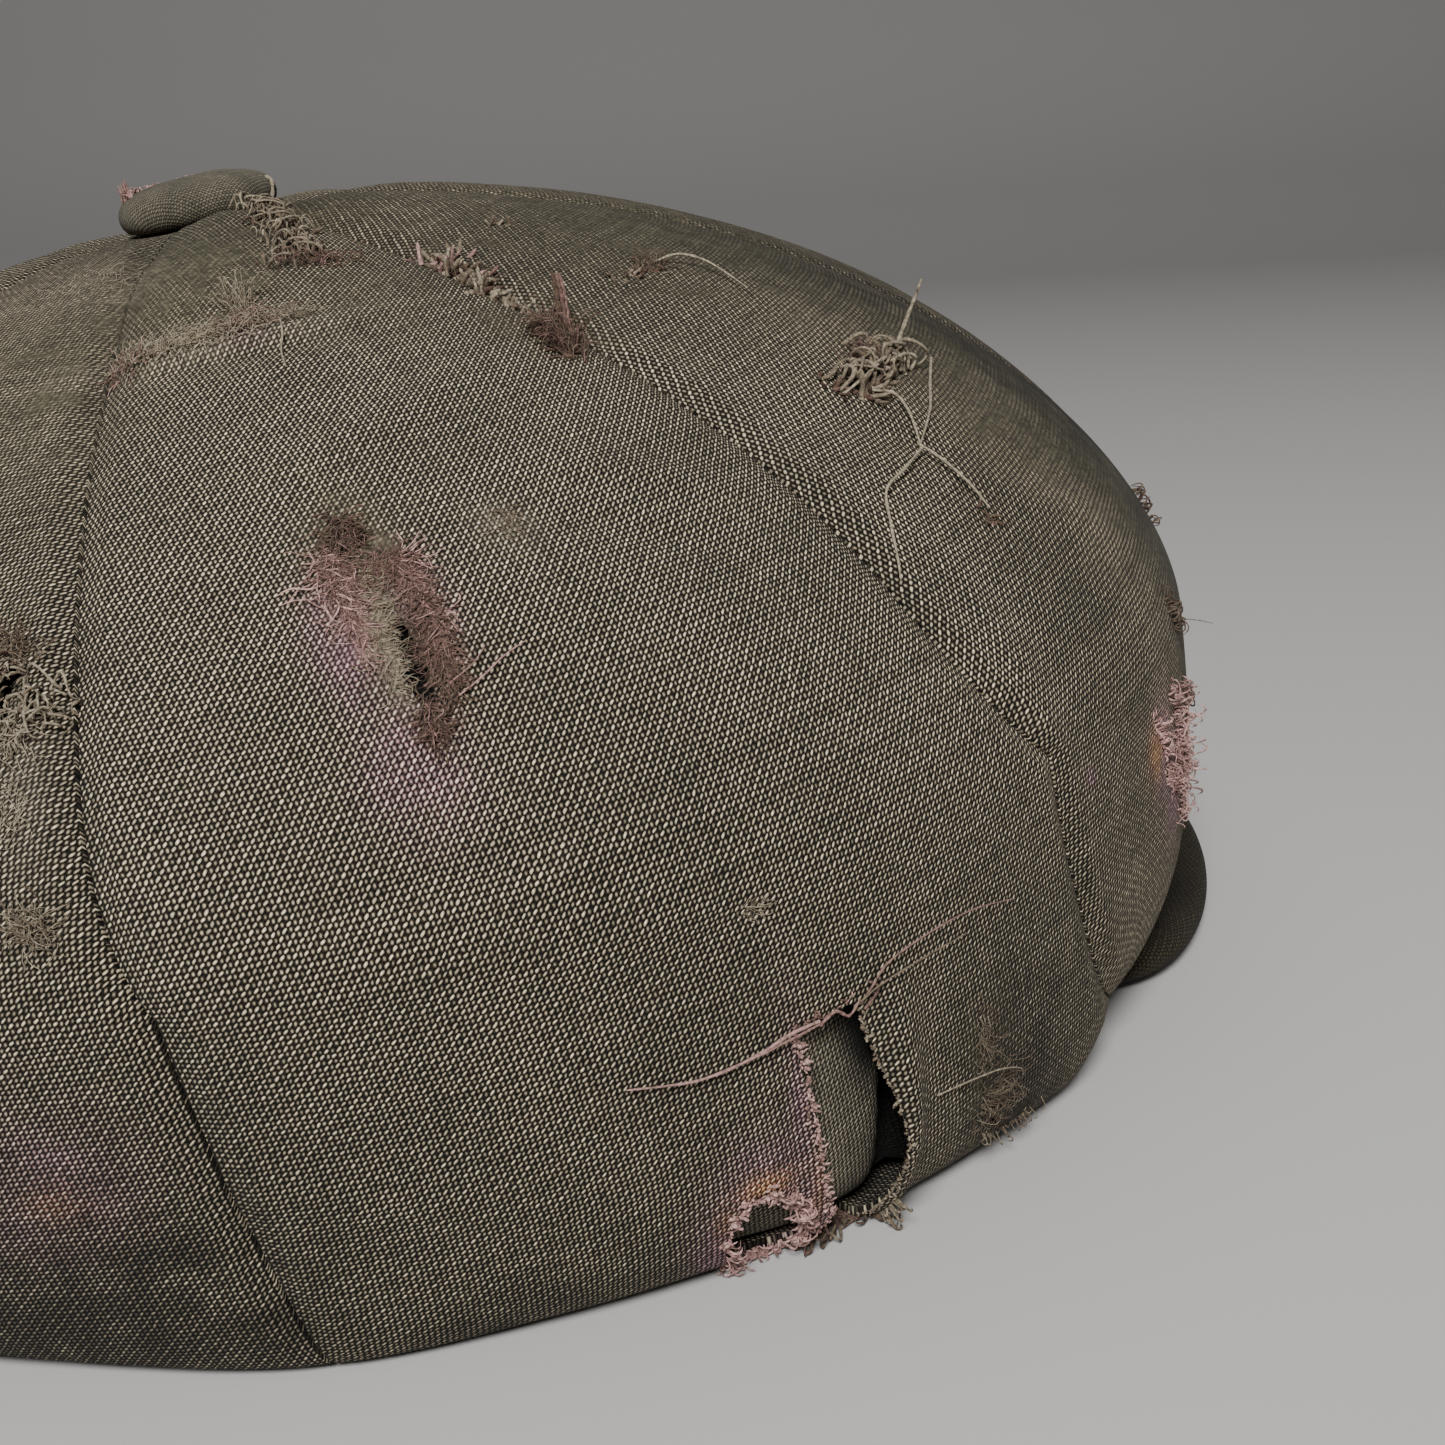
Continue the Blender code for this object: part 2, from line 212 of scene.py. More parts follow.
# ---------------------------------------------------------------- places on the cloth
def spot(azimuth, arc, centre, across, down, turn=0.0):
    """Soft round patch, 1 at centre (degrees, mm), falling off over across and down millimetres."""
    dx = (np.degrees(azimuth) - centre[0]) * PI / 180.0 * radius_at(arc) * 1000.0
    dy = arc * 1000.0 - centre[1]
    c, s = math.cos(math.radians(turn)), math.sin(math.radians(turn))
    return np.exp(-((dx * c + dy * s) / across) ** 2 - ((dy * c - dx * s) / down) ** 2)


# slack and folds: centre, across mm, down mm, turn degrees, height mm
FOLDS = [
    ((-105, 44), 11, 15, 0, 1.6),
    ((-88, 24), 9, 9, 0, 1.3),
    ((-103, 66), 17, 2.6, 4, 0.9),
    ((-98, 70.5), 15, 2.2, 4, -0.6),
    ((-76, 109), 12, 2.6, 35, 0.7),
    ((-79, 116), 12, 2.4, 35, -0.6),
    ((-90, 89), 14, 3, -20, 0.6),
    ((-91, 147), 16, 3, -15, 0.7),
    ((-86, 158), 16, 3, -18, -0.6),
    ((-104, 178), 14, 4, 12, 0.8),
    ((-56, 118), 9, 3, 50, -1),
    ((-54, 124), 9, 3, 50, 0.7),
    ((-63, 150), 3, 16, 0, 0.8),
    ((-48, 135), 9, 4, 30, 0.8),
]
TEAR_LIFT = [((-77, 186), 2.6, 13, 0, 3), ((-83, 184), 2, 13, 0, -0.5)]


def crown_relief(azimuth, s, arc):
    """Slack in the cloth, in metres along the normal."""
    around = azimuth * CROWN_RADIUS
    total = fractal(around / 0.050, arc / 0.070, 3, 2) * 0.0016
    total = total + fractal(around / 0.012, arc / 0.016, 5, 2) * 0.0003
    total = total * smooth(arc / 0.03) * (1.0 - smooth((s - 0.74) / 0.1))
    for centre, across, down, turn, height in FOLDS + TEAR_LIFT:
        total = total + 0.001 * height * spot(azimuth, arc, centre, across, down, turn)
    return total


def cloth_point(panel, azimuth, arc, out=0.0):
    """Point on a panel's cloth in the row frame, out metres outside its face."""
    azimuth, arc = np.broadcast_arrays(np.asarray(azimuth, float), np.asarray(arc, float))
    s = s_of(arc)
    first, last = seam_azimuth(panel - 1, s), seam_azimuth(panel, s)
    radius = profile(0.5 * (first + last), s)[0]
    t = np.clip((azimuth - first) / (last - first), 0.0, 1.0)
    from_seam = np.minimum(t, 1.0 - t) * (last - first) * radius
    fade = smooth((radius - 0.010) / 0.020) * (1.0 - smooth((s - 0.68) / 0.14))
    rise = PANEL_PUFF * fade * np.sin(PI * t) - PANEL_PUFF * fade * (1.0 - smooth(from_seam / 0.0035))
    rise = rise + crown_relief(azimuth, s, arc)
    return crown_surface(azimuth, s) + crown_normal(azimuth, s) * (rise + out)[..., None]


# ---------------------------------------------------------------- holes
HOLES = {
    LEFT: [
        [(-116.6, 114.5), (-115.6, 113.4), (-114.9, 116), (-115.1, 120.5), (-115.7, 122.5), (-116.8, 120)],
    ],
    MAIN: [
        [(-83, 170.2), (-81, 170.4), (-79.3, 169.6), (-79, 173.6), (-78, 180.5), (-77.3, 187.9),
         (-77.6, 195.6), (-78.6, 206), (-78.2, 214), (-80.6, 214), (-81, 206), (-80.9, 196), (-81.8, 189),
         (-82.2, 182.2), (-82.8, 174.8)],
        [(-87.1, 195), (-86.7, 190.4), (-85.2, 188.4), (-84, 190), (-82.9, 191.8), (-82.2, 196),
         (-82.4, 201), (-84.4, 202.6), (-86.6, 201)],
        [(-95.9, 116.4), (-95.4, 115.4), (-94.9, 119), (-94.7, 124), (-95, 130.4), (-95.7, 128.4),
         (-96.1, 122)],
        [(-94, 111.8), (-93.3, 112.2), (-93.5, 114.8), (-94.2, 114)],
        [(-94.1, 116), (-93.4, 116.2), (-93.7, 117.8), (-94.3, 117.2)],
        [(-96.9, 102.4), (-96.3, 102.6), (-95.9, 105.6), (-96.3, 106.4), (-96.8, 104.4)],
        [(-98.2, 60.3), (-97.3, 59.8), (-96.9, 61.4), (-97.8, 62.2)],
        [(-69.6, 191), (-68.9, 190.6), (-68.6, 194.6), (-69.4, 195.2)],
        [(-70.6, 183.4), (-70, 183), (-69.8, 185.6), (-70.4, 185.8)],
    ],
    RIGHT: [
        [(-55.6, 105.2), (-52.4, 104.4), (-52.2, 105.6), (-55.2, 107.2)],
        [(-50.2, 105.6), (-46.8, 105.2), (-46.6, 106.3), (-50, 107)],
        [(-49.7, 163.2), (-48.6, 162.8), (-48.3, 165), (-49.3, 165.7)],
        [(-48.9, 169.6), (-47.8, 169.4), (-47.2, 172), (-48.4, 172.6)],
        [(-46.2, 174.4), (-45.2, 174.2), (-45, 176), (-46, 176.4)],
    ],
}


def flat_place(azimuth_degrees, arc_mm, origin):
    """Flat millimetres round a hole's first corner."""
    radius = float(radius_at(origin[1] / 1000.0)) * 1000.0
    return (azimuth_degrees - origin[0]) * PI / 180.0 * radius, arc_mm - origin[1]


def cut_holes(panel, azimuth, arc):
    """Marks grid points inside the holes, and draws them to the nearest point of the rim."""
    inside_any = np.zeros(azimuth.shape, bool)
    azimuth, arc = azimuth.copy(), arc.copy()
    for outline in HOLES.get(panel, []):
        x, y = flat_place(np.degrees(azimuth), arc * 1000.0, outline[0])
        corners = np.array([flat_place(a, d, outline[0]) for a, d in outline])
        inside = np.zeros(azimuth.shape, bool)
        best = np.full(azimuth.shape, 1e9)
        near_x, near_y = x.copy(), y.copy()
        for p, q in zip(corners, np.roll(corners, -1, axis=0)):
            level_x = (q[0] - p[0]) * (y - p[1]) / (q[1] - p[1] + 1e-12) + p[0]
            inside ^= ((p[1] > y) != (q[1] > y)) & (x < level_x)
            edge = q - p
            along = np.clip(((x - p[0]) * edge[0] + (y - p[1]) * edge[1]) / (edge @ edge), 0.0, 1.0)
            fx, fy = p[0] + along * edge[0], p[1] + along * edge[1]
            gap = np.hypot(x - fx, y - fy)
            closer = gap < best
            best = np.where(closer, gap, best)
            near_x, near_y = np.where(closer, fx, near_x), np.where(closer, fy, near_y)
        radius = float(radius_at(outline[0][1] / 1000.0)) * 1000.0
        azimuth = np.where(inside, np.radians(outline[0][0]) + near_x / radius, azimuth)
        arc = np.where(inside, (near_y + outline[0][1]) / 1000.0, arc)
        inside_any |= inside
    return azimuth, arc, inside_any


# ---------------------------------------------------------------- stains, wear and painted shade
PINK = [
    ((-98.4, 119), 3.4, 8, 0.75), ((-96.8, 134), 5.2, 6.5, 0.65), ((-93.6, 117), 3.4, 6, 0.5),
    ((-84.8, 188.6), 6, 6.4, 1.1), ((-87.2, 194.6), 3.6, 6, 1.1), ((-82.9, 184), 1.5, 14, 0.8),
    ((-82, 194), 3, 8, 1.1),
    ((-48.6, 167), 5, 7, 1.1), ((-46.6, 176), 5, 6, 1), ((-59.5, 160), 1.2, 1.2, 0.9),
    ((-116.6, 172), 7, 7.5, 0.6), ((-118, 178), 7, 6, 0.4), ((-97.8, 66.5), 3, 2, 0.4),
]
ORANGE = [
    ((-84.9, 187.9), 3, 1.8, 1.1), ((-87.2, 191), 1.2, 2.4, 0.5), ((-81.9, 192), 0.8, 8, 0.5),
    ((-50.4, 166), 3, 4, 0.8), ((-117, 174.6), 2.8, 2.2, 0.35),
]
PALE = [
    ((-87.2, 109.5), 3.2, 3.6, 0.8), ((-103, 66.5), 13, 2.4, 0.9), ((-110, 66), 7, 2.2, 0.8),
    ((-84, 156), 1.6, 0.8, 0.6), ((-115, 129), 2.6, 9, 0.7), ((-114.8, 143.6), 2.4, 2, 0.8),
    ((-96.4, 117), 2, 7, 0.9), ((-122, 40), 10, 12, 0.5), ((-70, 84), 4, 1.4, 0.3),
]
NAPLESS = [
    ((-105, 45), 13, 17, 1.1), ((-60, 22), 16, 16, 0.7), ((-42, 118), 16, 26, 0.75),
    ((-34, 68), 30, 36, 0.85), ((-34, 142), 20, 48, 1.05), ((-120, 60), 12, 30, 0.55),
    ((-96, 114), 4.2, 10, 1.3), ((-70, 187), 5, 9, 0.6), ((-66, 198), 6, 6, 0.5),
    ((-70, 76), 8, 8, 0.5), ((-84, 60), 22, 12, 0.35),
]
# Darkening of the crown cloth. Broad spots paint shade towards the bottom, at the top and on the far right.
# Two spots paint a shadow at the tear's bottom, where the inside of the hem shows. The small spots darken
# the cloth round the holes and frays.
PAINTED_SHADE_AND_GRIME = [
    ((-120, 196), 40, 32, 1.10), ((-96, 211), 60, 25, 0.95), ((-66, 192), 22, 28, 0.80),
    ((-100, 12), 60, 38, 0.58), ((-28, 120), 32, 74, 0.92), ((-58, 60), 24, 34, 0.50),
    ((-75.4, 205), 6, 5, 1.60),
    ((-55, 150), 14, 40, 0.45), ((-85, 170), 30, 30, 0.28), ((-116, 130), 10, 50, 0.3),
    ((-96.4, 105.4), 1.8, 3.4, 0.9), ((-94.4, 122), 2.2, 9, 0.6), ((-94, 112.6), 3, 3, 0.4),
    ((-79.5, 207.5), 8, 4.5, 1.1), ((-112, 60), 4, 30, 0.3), ((-72, 85), 2.6, 2.2, 0.7),
    ((-67, 120), 2.5, 30, 0.35),
]
# painted shadow: near-black on the lining inside the tear and the holes, where the light doesn't reach
PAINTED_TEAR_SHADOW = [
    ((-74.8, 186), 3.2, 20, 3), ((-77.9, 173.5), 3.2, 6, 3), ((-78.5, 210), 9, 8, 3),
    ((-84.4, 198), 5, 4, 0.7), ((-95.4, 122.5), 3, 9, 3), ((-93.6, 113.5), 2, 3, 3),
]


def painted(azimuth, arc, spots, seed):
    total = np.zeros(azimuth.shape)
    for centre, across, down, strength in spots:
        total = np.maximum(total, strength * spot(azimuth, arc, centre, across, down))
    ragged = fractal(azimuth * CROWN_RADIUS / 0.0035, arc / 0.0035, seed, 2)
    return np.clip(total * (1.0 + 1.1 * ragged), 0.0, 1.0)


def paint(azimuth, arc):
    pink = painted(azimuth, arc, PINK, 21)
    return {
        "pink": pink,
        "orange": painted(azimuth, arc, ORANGE, 22),
        "pale": painted(azimuth, arc, PALE, 23),
        "napless": painted(azimuth, arc, NAPLESS, 24),
        # painted shade, with darker cloth round the holes, weaker where the cloth is pink
        "painted_shade_and_grime": painted(azimuth, arc, PAINTED_SHADE_AND_GRIME, 25) * (1.0 - 0.4 * pink),
    }


# ---------------------------------------------------------------- mesh helpers
def linked(obj):
    bpy.context.scene.collection.objects.link(obj)
    return obj


def stand_in(obj, body, node):
    """A piece that rides on a body and shows in place of a CAD node."""
    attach(obj, body)
    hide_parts(node)


def moved(matrix, points):
    """Points through a 4 by 4 matrix."""
    matrix = np.array(matrix)
    return points @ matrix[:3, :3].T + matrix[:3, 3]


def link_mesh(name, points, faces, mat, uv, attributes):
    """Mesh object from arrays: faces is one array of quads, uv and attributes are one value a point."""
    mesh = bpy.data.meshes.new(name)
    mesh.vertices.add(len(points))
    mesh.vertices.foreach_set("co", points.astype(np.float32).ravel())
    mesh.loops.add(faces.size)
    mesh.loops.foreach_set("vertex_index", faces.astype(np.int32).ravel())
    mesh.polygons.add(len(faces))
    mesh.polygons.foreach_set("loop_start", np.arange(0, faces.size, 4, dtype=np.int32))
    mesh.update(calc_edges=True)
    mesh.polygons.foreach_set("use_smooth", np.ones(len(faces), bool))
    layer = mesh.uv_layers.new(name="cloth")
    layer.data.foreach_set("uv", uv[faces.ravel()].astype(np.float32).ravel())
    for key, values in attributes.items():
        made = mesh.attributes.new(key, "FLOAT", "POINT")
        made.data.foreach_set("value", values.astype(np.float32))
    mesh.materials.append(mat)
    return linked(bpy.data.objects.new(name, mesh))


def grid_object(name, points, uv, mat, attributes=None, holes=None):
    """Open grid of points as a mesh with a UV map in metres and painted attributes."""
    rows, cols = points.shape[:2]
    index = np.arange(rows * cols).reshape(rows, cols)
    quads = np.stack([index[:-1, :-1], index[1:, :-1], index[1:, 1:], index[:-1, 1:]], axis=-1)
    quads = quads.reshape(-1, 4)
    if holes is not None:
        quads = quads[~holes.reshape(-1)[quads].all(axis=1)]
    used = np.unique(quads)
    renumber = np.full(rows * cols, -1)
    renumber[used] = np.arange(len(used))
    painted_on = {key: values.reshape(-1)[used] for key, values in (attributes or {}).items()}
    points, uv = points.reshape(-1, 3)[used], uv.reshape(-1, 2)[used]
    return link_mesh(name, points, renumber[quads], mat, uv, painted_on)


def thicken(obj, thickness):
    solid = obj.modifiers.new("thickness", "SOLIDIFY")
    solid.thickness = thickness
    solid.offset = -1.0
    solid.use_rim = True


def tubes(name, paths, radii, hues, mat, sides=5):
    """Many thin round yarns in one mesh: paths is a list of point arrays."""
    points, faces, hue = [], [], []
    start = 0
    ring = np.arange(sides) * 2.0 * PI / sides
    for path, radius, shade in zip(paths, radii, hues):
        path = np.asarray(path, float)
        count = len(path)
        ahead = np.gradient(path, axis=0)
        ahead /= np.maximum(np.linalg.norm(ahead, axis=1, keepdims=True), 1e-12)
        up = np.where(np.abs(ahead[:, 2:3]) > 0.9, [[1.0, 0.0, 0.0]], [[0.0, 0.0, 1.0]])
        side = np.cross(ahead, up)
        side /= np.maximum(np.linalg.norm(side, axis=1, keepdims=True), 1e-12)
        top = np.cross(side, ahead)
        share = np.linspace(0.0, 1.0, count)
        width = radius * (1.0 - 0.55 * share ** 3) * (1.0 + 0.18 * np.sin(share * 40.0 + shade * 9.0))
        width[-1] *= 0.15
        circle = np.cos(ring)[:, None] * side[:, None, :] + np.sin(ring)[:, None] * top[:, None, :]
        points.append((path[:, None, :] + circle * width[:, None, None]).reshape(-1, 3))
        index = start + np.arange(count * sides).reshape(count, sides)
        after = np.roll(index, -1, axis=1)
        faces.append(np.stack([index[:-1], after[:-1], after[1:], index[1:]], axis=-1).reshape(-1, 4))
        hue.append(np.full(count * sides, shade))
        start += count * sides
    points, faces, hue = np.concatenate(points), np.concatenate(faces), np.concatenate(hue)
    return link_mesh(name, points, faces, mat, np.zeros((len(points), 2)), {"hue": hue})


# ---------------------------------------------------------------- shader helpers
class Graph:
    """Short names for building a material's nodes."""

    def __init__(self, name):
        self.mat = bpy.data.materials.new(name)
        self.mat.use_nodes = True
        self.tree = self.mat.node_tree
        self.shader = self.tree.nodes["Principled BSDF"]

    def plug(self, socket, value):
        if isinstance(value, bpy.types.NodeSocket):
            self.tree.links.new(value, socket)
        else:
            socket.default_value = value

    def math(self, operation, a, b=0.0, c=0.0):
        node = self.tree.nodes.new("ShaderNodeMath")
        node.operation = operation
        for socket, value in zip(node.inputs, (a, b, c)):
            self.plug(socket, value)
        return node.outputs[0]

    def add(self, a, b):
        return self.math("ADD", a, b)

    def sub(self, a, b):
        return self.math("SUBTRACT", a, b)

    def mul(self, a, b):
        return self.math("MULTIPLY", a, b)

    def most(self, a, b):
        return self.math("MAXIMUM", a, b)

    def blend(self, factor, a, b):
        return self.add(self.mul(a, self.sub(1.0, factor)), self.mul(b, factor))

    def steps(self, value, low, high, start=0.0, end=1.0):
        node = self.tree.nodes.new("ShaderNodeMapRange")
        node.interpolation_type = "SMOOTHSTEP"
        for socket, number in zip(node.inputs, (value, low, high, start, end)):
            self.plug(socket, number)
        return node.outputs[0]

    def vector(self, x, y, z=0.0):
        node = self.tree.nodes.new("ShaderNodeCombineXYZ")
        for socket, value in zip(node.inputs, (x, y, z)):
            self.plug(socket, value)
        return node.outputs[0]

    def noise(self, vector, scale, detail=2.0, rough=0.5):
        node = self.tree.nodes.new("ShaderNodeTexNoise")
        self.plug(node.inputs["Vector"], vector)
        node.inputs["Scale"].default_value = scale
        node.inputs["Detail"].default_value = detail
        node.inputs["Roughness"].default_value = rough
        return node.outputs["Fac"]

    def white(self, value):
        node = self.tree.nodes.new("ShaderNodeTexWhiteNoise")
        node.noise_dimensions = "1D"
        self.plug(node.inputs["W"], value)
        return node.outputs["Value"]

    def mix(self, factor, a, b, kind="MIX"):
        node = self.tree.nodes.new("ShaderNodeMix")
        node.data_type = "RGBA"
        node.blend_type = kind
        self.plug(node.inputs[0], factor)
        self.plug(node.inputs[6], a)
        self.plug(node.inputs[7], b)
        return node.outputs[2]

    def ramp(self, value, stops):
        node = self.tree.nodes.new("ShaderNodeValToRGB")
        self.plug(node.inputs[0], value)
        ramp = node.color_ramp
        while len(ramp.elements) < len(stops):
            ramp.elements.new(0.5)
        for element, (place, colour) in zip(ramp.elements, stops):
            element.position = place
            element.color = (*colour, 1.0)
        return node.outputs[0]

    def tinted(self, colour, tint):
        return self.mix(1.0, colour, self.vector(tint, tint, tint), "MULTIPLY")

    def attribute(self, name):
        node = self.tree.nodes.new("ShaderNodeAttribute")
        node.attribute_name = name
        return node.outputs["Fac"]

    def uv(self):
        node = self.tree.nodes.new("ShaderNodeUVMap")
        node.uv_map = "cloth"
        split = self.tree.nodes.new("ShaderNodeSeparateXYZ")
        self.tree.links.new(node.outputs[0], split.inputs[0])
        return split.outputs[0], split.outputs[1]

    def place(self):
        return self.tree.nodes.new("ShaderNodeTexCoord").outputs["Object"]

    def bump(self, height, distance, strength=1.0):
        node = self.tree.nodes.new("ShaderNodeBump")
        node.inputs["Strength"].default_value = strength
        node.inputs["Distance"].default_value = distance
        self.plug(node.inputs["Height"], height)
        self.plug(self.shader.inputs["Normal"], node.outputs[0])

    def colour(self, value):
        self.plug(self.shader.inputs["Base Color"], value)

    def finish(self, roughness, sheen=0.0, metallic=0.0, specular=0.5):
        self.shader.inputs["Roughness"].default_value = roughness
        self.shader.inputs["Metallic"].default_value = metallic
        self.shader.inputs["Sheen Weight"].default_value = sheen
        self.shader.inputs["Sheen Roughness"].default_value = 0.5
        self.shader.inputs["Specular IOR Level"].default_value = specular
        return self.mat


def rgba(r, g, b):
    return (r, g, b, 1.0)


def thread_round(g, offset, narrow):
    """Height across a round thread, from the offset to its middle."""
    across = g.mul(g.math("ABSOLUTE", offset), narrow)
    return g.math("SQRT", g.most(g.sub(1.0, g.math("POWER", across, 2.0)), 0.0))


def weave(g, pitch, angle=0.0, uneven=0.70):
    """Open plain weave from the UV map in metres: its height, each crest's own value, and flat places."""
    u, v = g.uv()
    c, s = math.cos(angle), math.sin(angle)
    x = g.add(g.mul(u, c), g.mul(v, s))
    y = g.sub(g.mul(v, c), g.mul(u, s))
    flat = g.vector(x, y)
    slow = g.noise(flat, 35.0, 2.0)
    quick = g.noise(flat, 480.0, 2.0)
    other = g.noise(g.vector(y, x), 610.0, 2.0)
    x = g.add(g.mul(x, 1.0 / pitch), g.add(g.mul(slow, 3.0), g.mul(quick, uneven)))
    y = g.add(g.mul(y, 1.0 / pitch), g.sub(g.mul(other, uneven), g.mul(slow, 2.0)))
    ix, iy = g.math("FLOOR", x), g.math("FLOOR", y)
    fx, fy = g.sub(g.sub(x, ix), 0.5), g.sub(g.sub(y, iy), 0.5)
    sign = g.math("COSINE", g.mul(g.add(ix, iy), PI))
    warp_up = g.add(0.5, g.mul(g.mul(sign, 0.5), g.math("COSINE", g.mul(fy, PI))))
    weft_up = g.sub(0.5, g.mul(g.mul(sign, 0.5), g.math("COSINE", g.mul(fx, PI))))
    warp_round = thread_round(g, g.add(fx, g.mul(fy, 0.20)), 2.75)
    weft_round = thread_round(g, g.add(fy, g.mul(fx, 0.60)), 2.60)
    # The warp's crests are scaled to 0.76. This makes them lower in the bump and, through the colour ramps,
    # gives them less of the painted crest highlight than the weft's.
    warp = g.mul(g.mul(warp_round, warp_up), 0.76)
    weft = g.mul(weft_round, weft_up)
    height = g.most(warp, weft)
    top = g.math("GREATER_THAN", warp, weft)
    thread = g.blend(top, g.white(g.add(iy, 0.37)), g.white(ix))
    crest = g.white(g.add(g.mul(ix, 12.989), g.mul(iy, 78.233)))
    return height, g.blend(0.5, thread, crest), flat


def crown_cloth():
    g = Graph("crown_cloth")
    height, own, flat = weave(g, THREAD, math.radians(-5.0))
    worn = g.attribute("napless")
    patchy = g.steps(g.noise(flat, 190.0, 4.0, 0.6), 0.48, 0.66)
    napless = g.math("MINIMUM", g.add(worn, g.mul(patchy, g.add(0.06, g.mul(worn, 0.9)))), 1.0)
    fuzz = g.noise(flat, 900.0, 3.0, 0.7)
    level = g.blend(g.mul(napless, 0.85), height, g.add(0.42, g.mul(fuzz, 0.30)))
    # Each colour ramp runs from near-black in the weave's gaps to pale on its crests. This paints shade in
    # the gaps and a highlight on the crests, around the yarn's own olive, pink, orange and bleached tones.
    body = g.ramp(level, [(0.0, (0.0010, 0.0008, 0.0005)), (0.26, (0.0060, 0.0046, 0.0028)),
                          (0.54, (0.072, 0.056, 0.033)), (1.0, (0.92, 0.785, 0.555))])
    rose = g.ramp(level, [(0.0, (0.006, 0.003, 0.004)), (0.22, (0.050, 0.020, 0.030)),
                          (0.52, (0.25, 0.115, 0.145)), (1.0, (0.88, 0.57, 0.62))])
    amber = g.ramp(level, [(0.0, (0.010, 0.004, 0.002)), (0.22, (0.11, 0.036, 0.016)),
                           (0.52, (0.52, 0.23, 0.095)), (1.0, (0.95, 0.72, 0.40))])
    bleached = g.ramp(level, [(0.0, (0.03, 0.025, 0.018)), (0.35, (0.14, 0.115, 0.080)),
                              (1.0, (0.46, 0.40, 0.30))])
    body = g.mix(g.mul(napless, 0.60), body, rgba(0.078, 0.074, 0.047))
    body = g.mix(g.mul(g.attribute("pale"), 0.8), body, bleached)
    body = g.mix(g.mul(g.attribute("pink"), 0.80), body, rose)
    body = g.mix(g.attribute("orange"), body, amber)
    mottle = g.steps(g.noise(flat, 60.0, 4.0, 0.6), 0.30, 0.72, 0.88, 1.10)
    streak = g.steps(own, 0.0, 1.0, 0.62, 1.32)
    fleck = g.steps(g.noise(flat, 1500.0, 1.0), 0.30, 0.75, 0.72, 1.20)
    # The colour is darkened by up to three quarters where the spots above are painted. This gives painted
    # shade over broad areas and at the tear's bottom, and darker cloth round the holes.
    tint = g.mul(g.mul(mottle, streak), g.mul(fleck, g.sub(1.0, g.mul(g.attribute("painted_shade_and_grime"), 0.75))))
    g.colour(g.tinted(body, tint))
    g.bump(level, 0.00042, 1.0)
    return g.finish(0.90, 0.02, specular=0.20)


def plain_cloth(name, dark, light, pitch=THREAD, angle=0.0, depth=0.0002):
    """Plain woven cloth in one colour, for lining, band, peak and button, with painted shade in the weave's
    gaps and a painted highlight on its crests.
    """
    g = Graph(name)
    height, own, flat = weave(g, pitch, angle)
    # Near-black in the gaps, the dark tone on the threads and the light tone on the crests: painted shade
    # and a painted highlight.
    body = g.ramp(height, [(0.0, tuple(0.08 * k for k in dark)), (0.40, dark), (1.0, light)])
    mottle = g.steps(g.noise(flat, 70.0, 4.0, 0.6), 0.30, 0.72, 0.72, 1.20)
    # Painted shadow: the lining is darkened almost to black inside the tear and the holes.
    shade = g.sub(1.0, g.mul(g.attribute("painted_shade_and_grime"), 0.96))
    tint = g.mul(g.mul(mottle, shade), g.steps(own, 0.0, 1.0, 0.75, 1.2))
    g.colour(g.tinted(body, tint))
    g.bump(height, depth, 1.0)
    return g.finish(0.92, 0.03, specular=0.20)


def worn_leather():
    g = Graph("sweat_leather")
    place = g.place()
    grain = g.noise(place, 900.0, 4.0, 0.65)
    stain = g.noise(place, 45.0, 4.0, 0.6)
    base = g.ramp(stain, [(0.25, (0.030, 0.013, 0.006)), (0.55, (0.085, 0.040, 0.018)),
                          (0.8, (0.15, 0.080, 0.040))])
    g.colour(g.mix(g.steps(grain, 0.35, 0.7), base, rgba(0.035, 0.016, 0.008)))
    g.bump(grain, 0.0002, 0.7)
    return g.finish(0.55)


def yarn_fibre():
    """Loose yarns and fuzz: hue 0 is straw, 0.5 brown, 1 faded pink."""
    g = Graph("yarn")
    place = g.place()
    body = g.ramp(g.attribute("hue"), [(0.0, (0.33, 0.28, 0.20)), (0.28, (0.16, 0.125, 0.085)),
                                       (0.52, (0.075, 0.044, 0.030)), (0.74, (0.24, 0.140, 0.118)),
                                       (1.0, (0.56, 0.345, 0.315))])
    shade = g.steps(g.noise(place, 2500.0, 2.0), 0.3, 0.7, 0.55, 1.25)
    g.colour(g.tinted(body, shade))
    g.bump(g.noise(place, 4000.0, 1.0), 0.0001, 0.6)
    return g.finish(0.9, 0.06, specular=0.2)


def board_fibre():
    g = Graph("peak_board")
    place = g.place()
    fibre = g.noise(place, 700.0, 5.0, 0.7)
    g.colour(g.ramp(fibre, [(0.3, (0.14, 0.10, 0.06)), (0.7, (0.33, 0.25, 0.16))]))
    g.bump(fibre, 0.0002, 0.6)
    return g.finish(0.9)


def dull_metal():
    g = Graph("button_metal")
    place = g.place()
    rust = g.noise(place, 600.0, 5.0, 0.7)
    g.colour(g.ramp(rust, [(0.35, (0.32, 0.30, 0.27)), (0.55, (0.20, 0.15, 0.11)),
                           (0.75, (0.12, 0.055, 0.025))]))
    g.bump(rust, 0.0001, 0.5)
    return g.finish(0.55, metallic=0.7)


# ---------------------------------------------------------------- crown panels
def panel_area(panel):
    """Flat area of a panel's cut and its greatest width, from its widths down the cloth."""
    s = s_of(ARC)
    widths = (seam_azimuth(panel, s) - seam_azimuth(panel - 1, s)) * ARC_R
    area = float(np.sum(0.5 * (widths[1:] + widths[:-1]) * np.diff(ARC)))
    return area, float(widths.max())


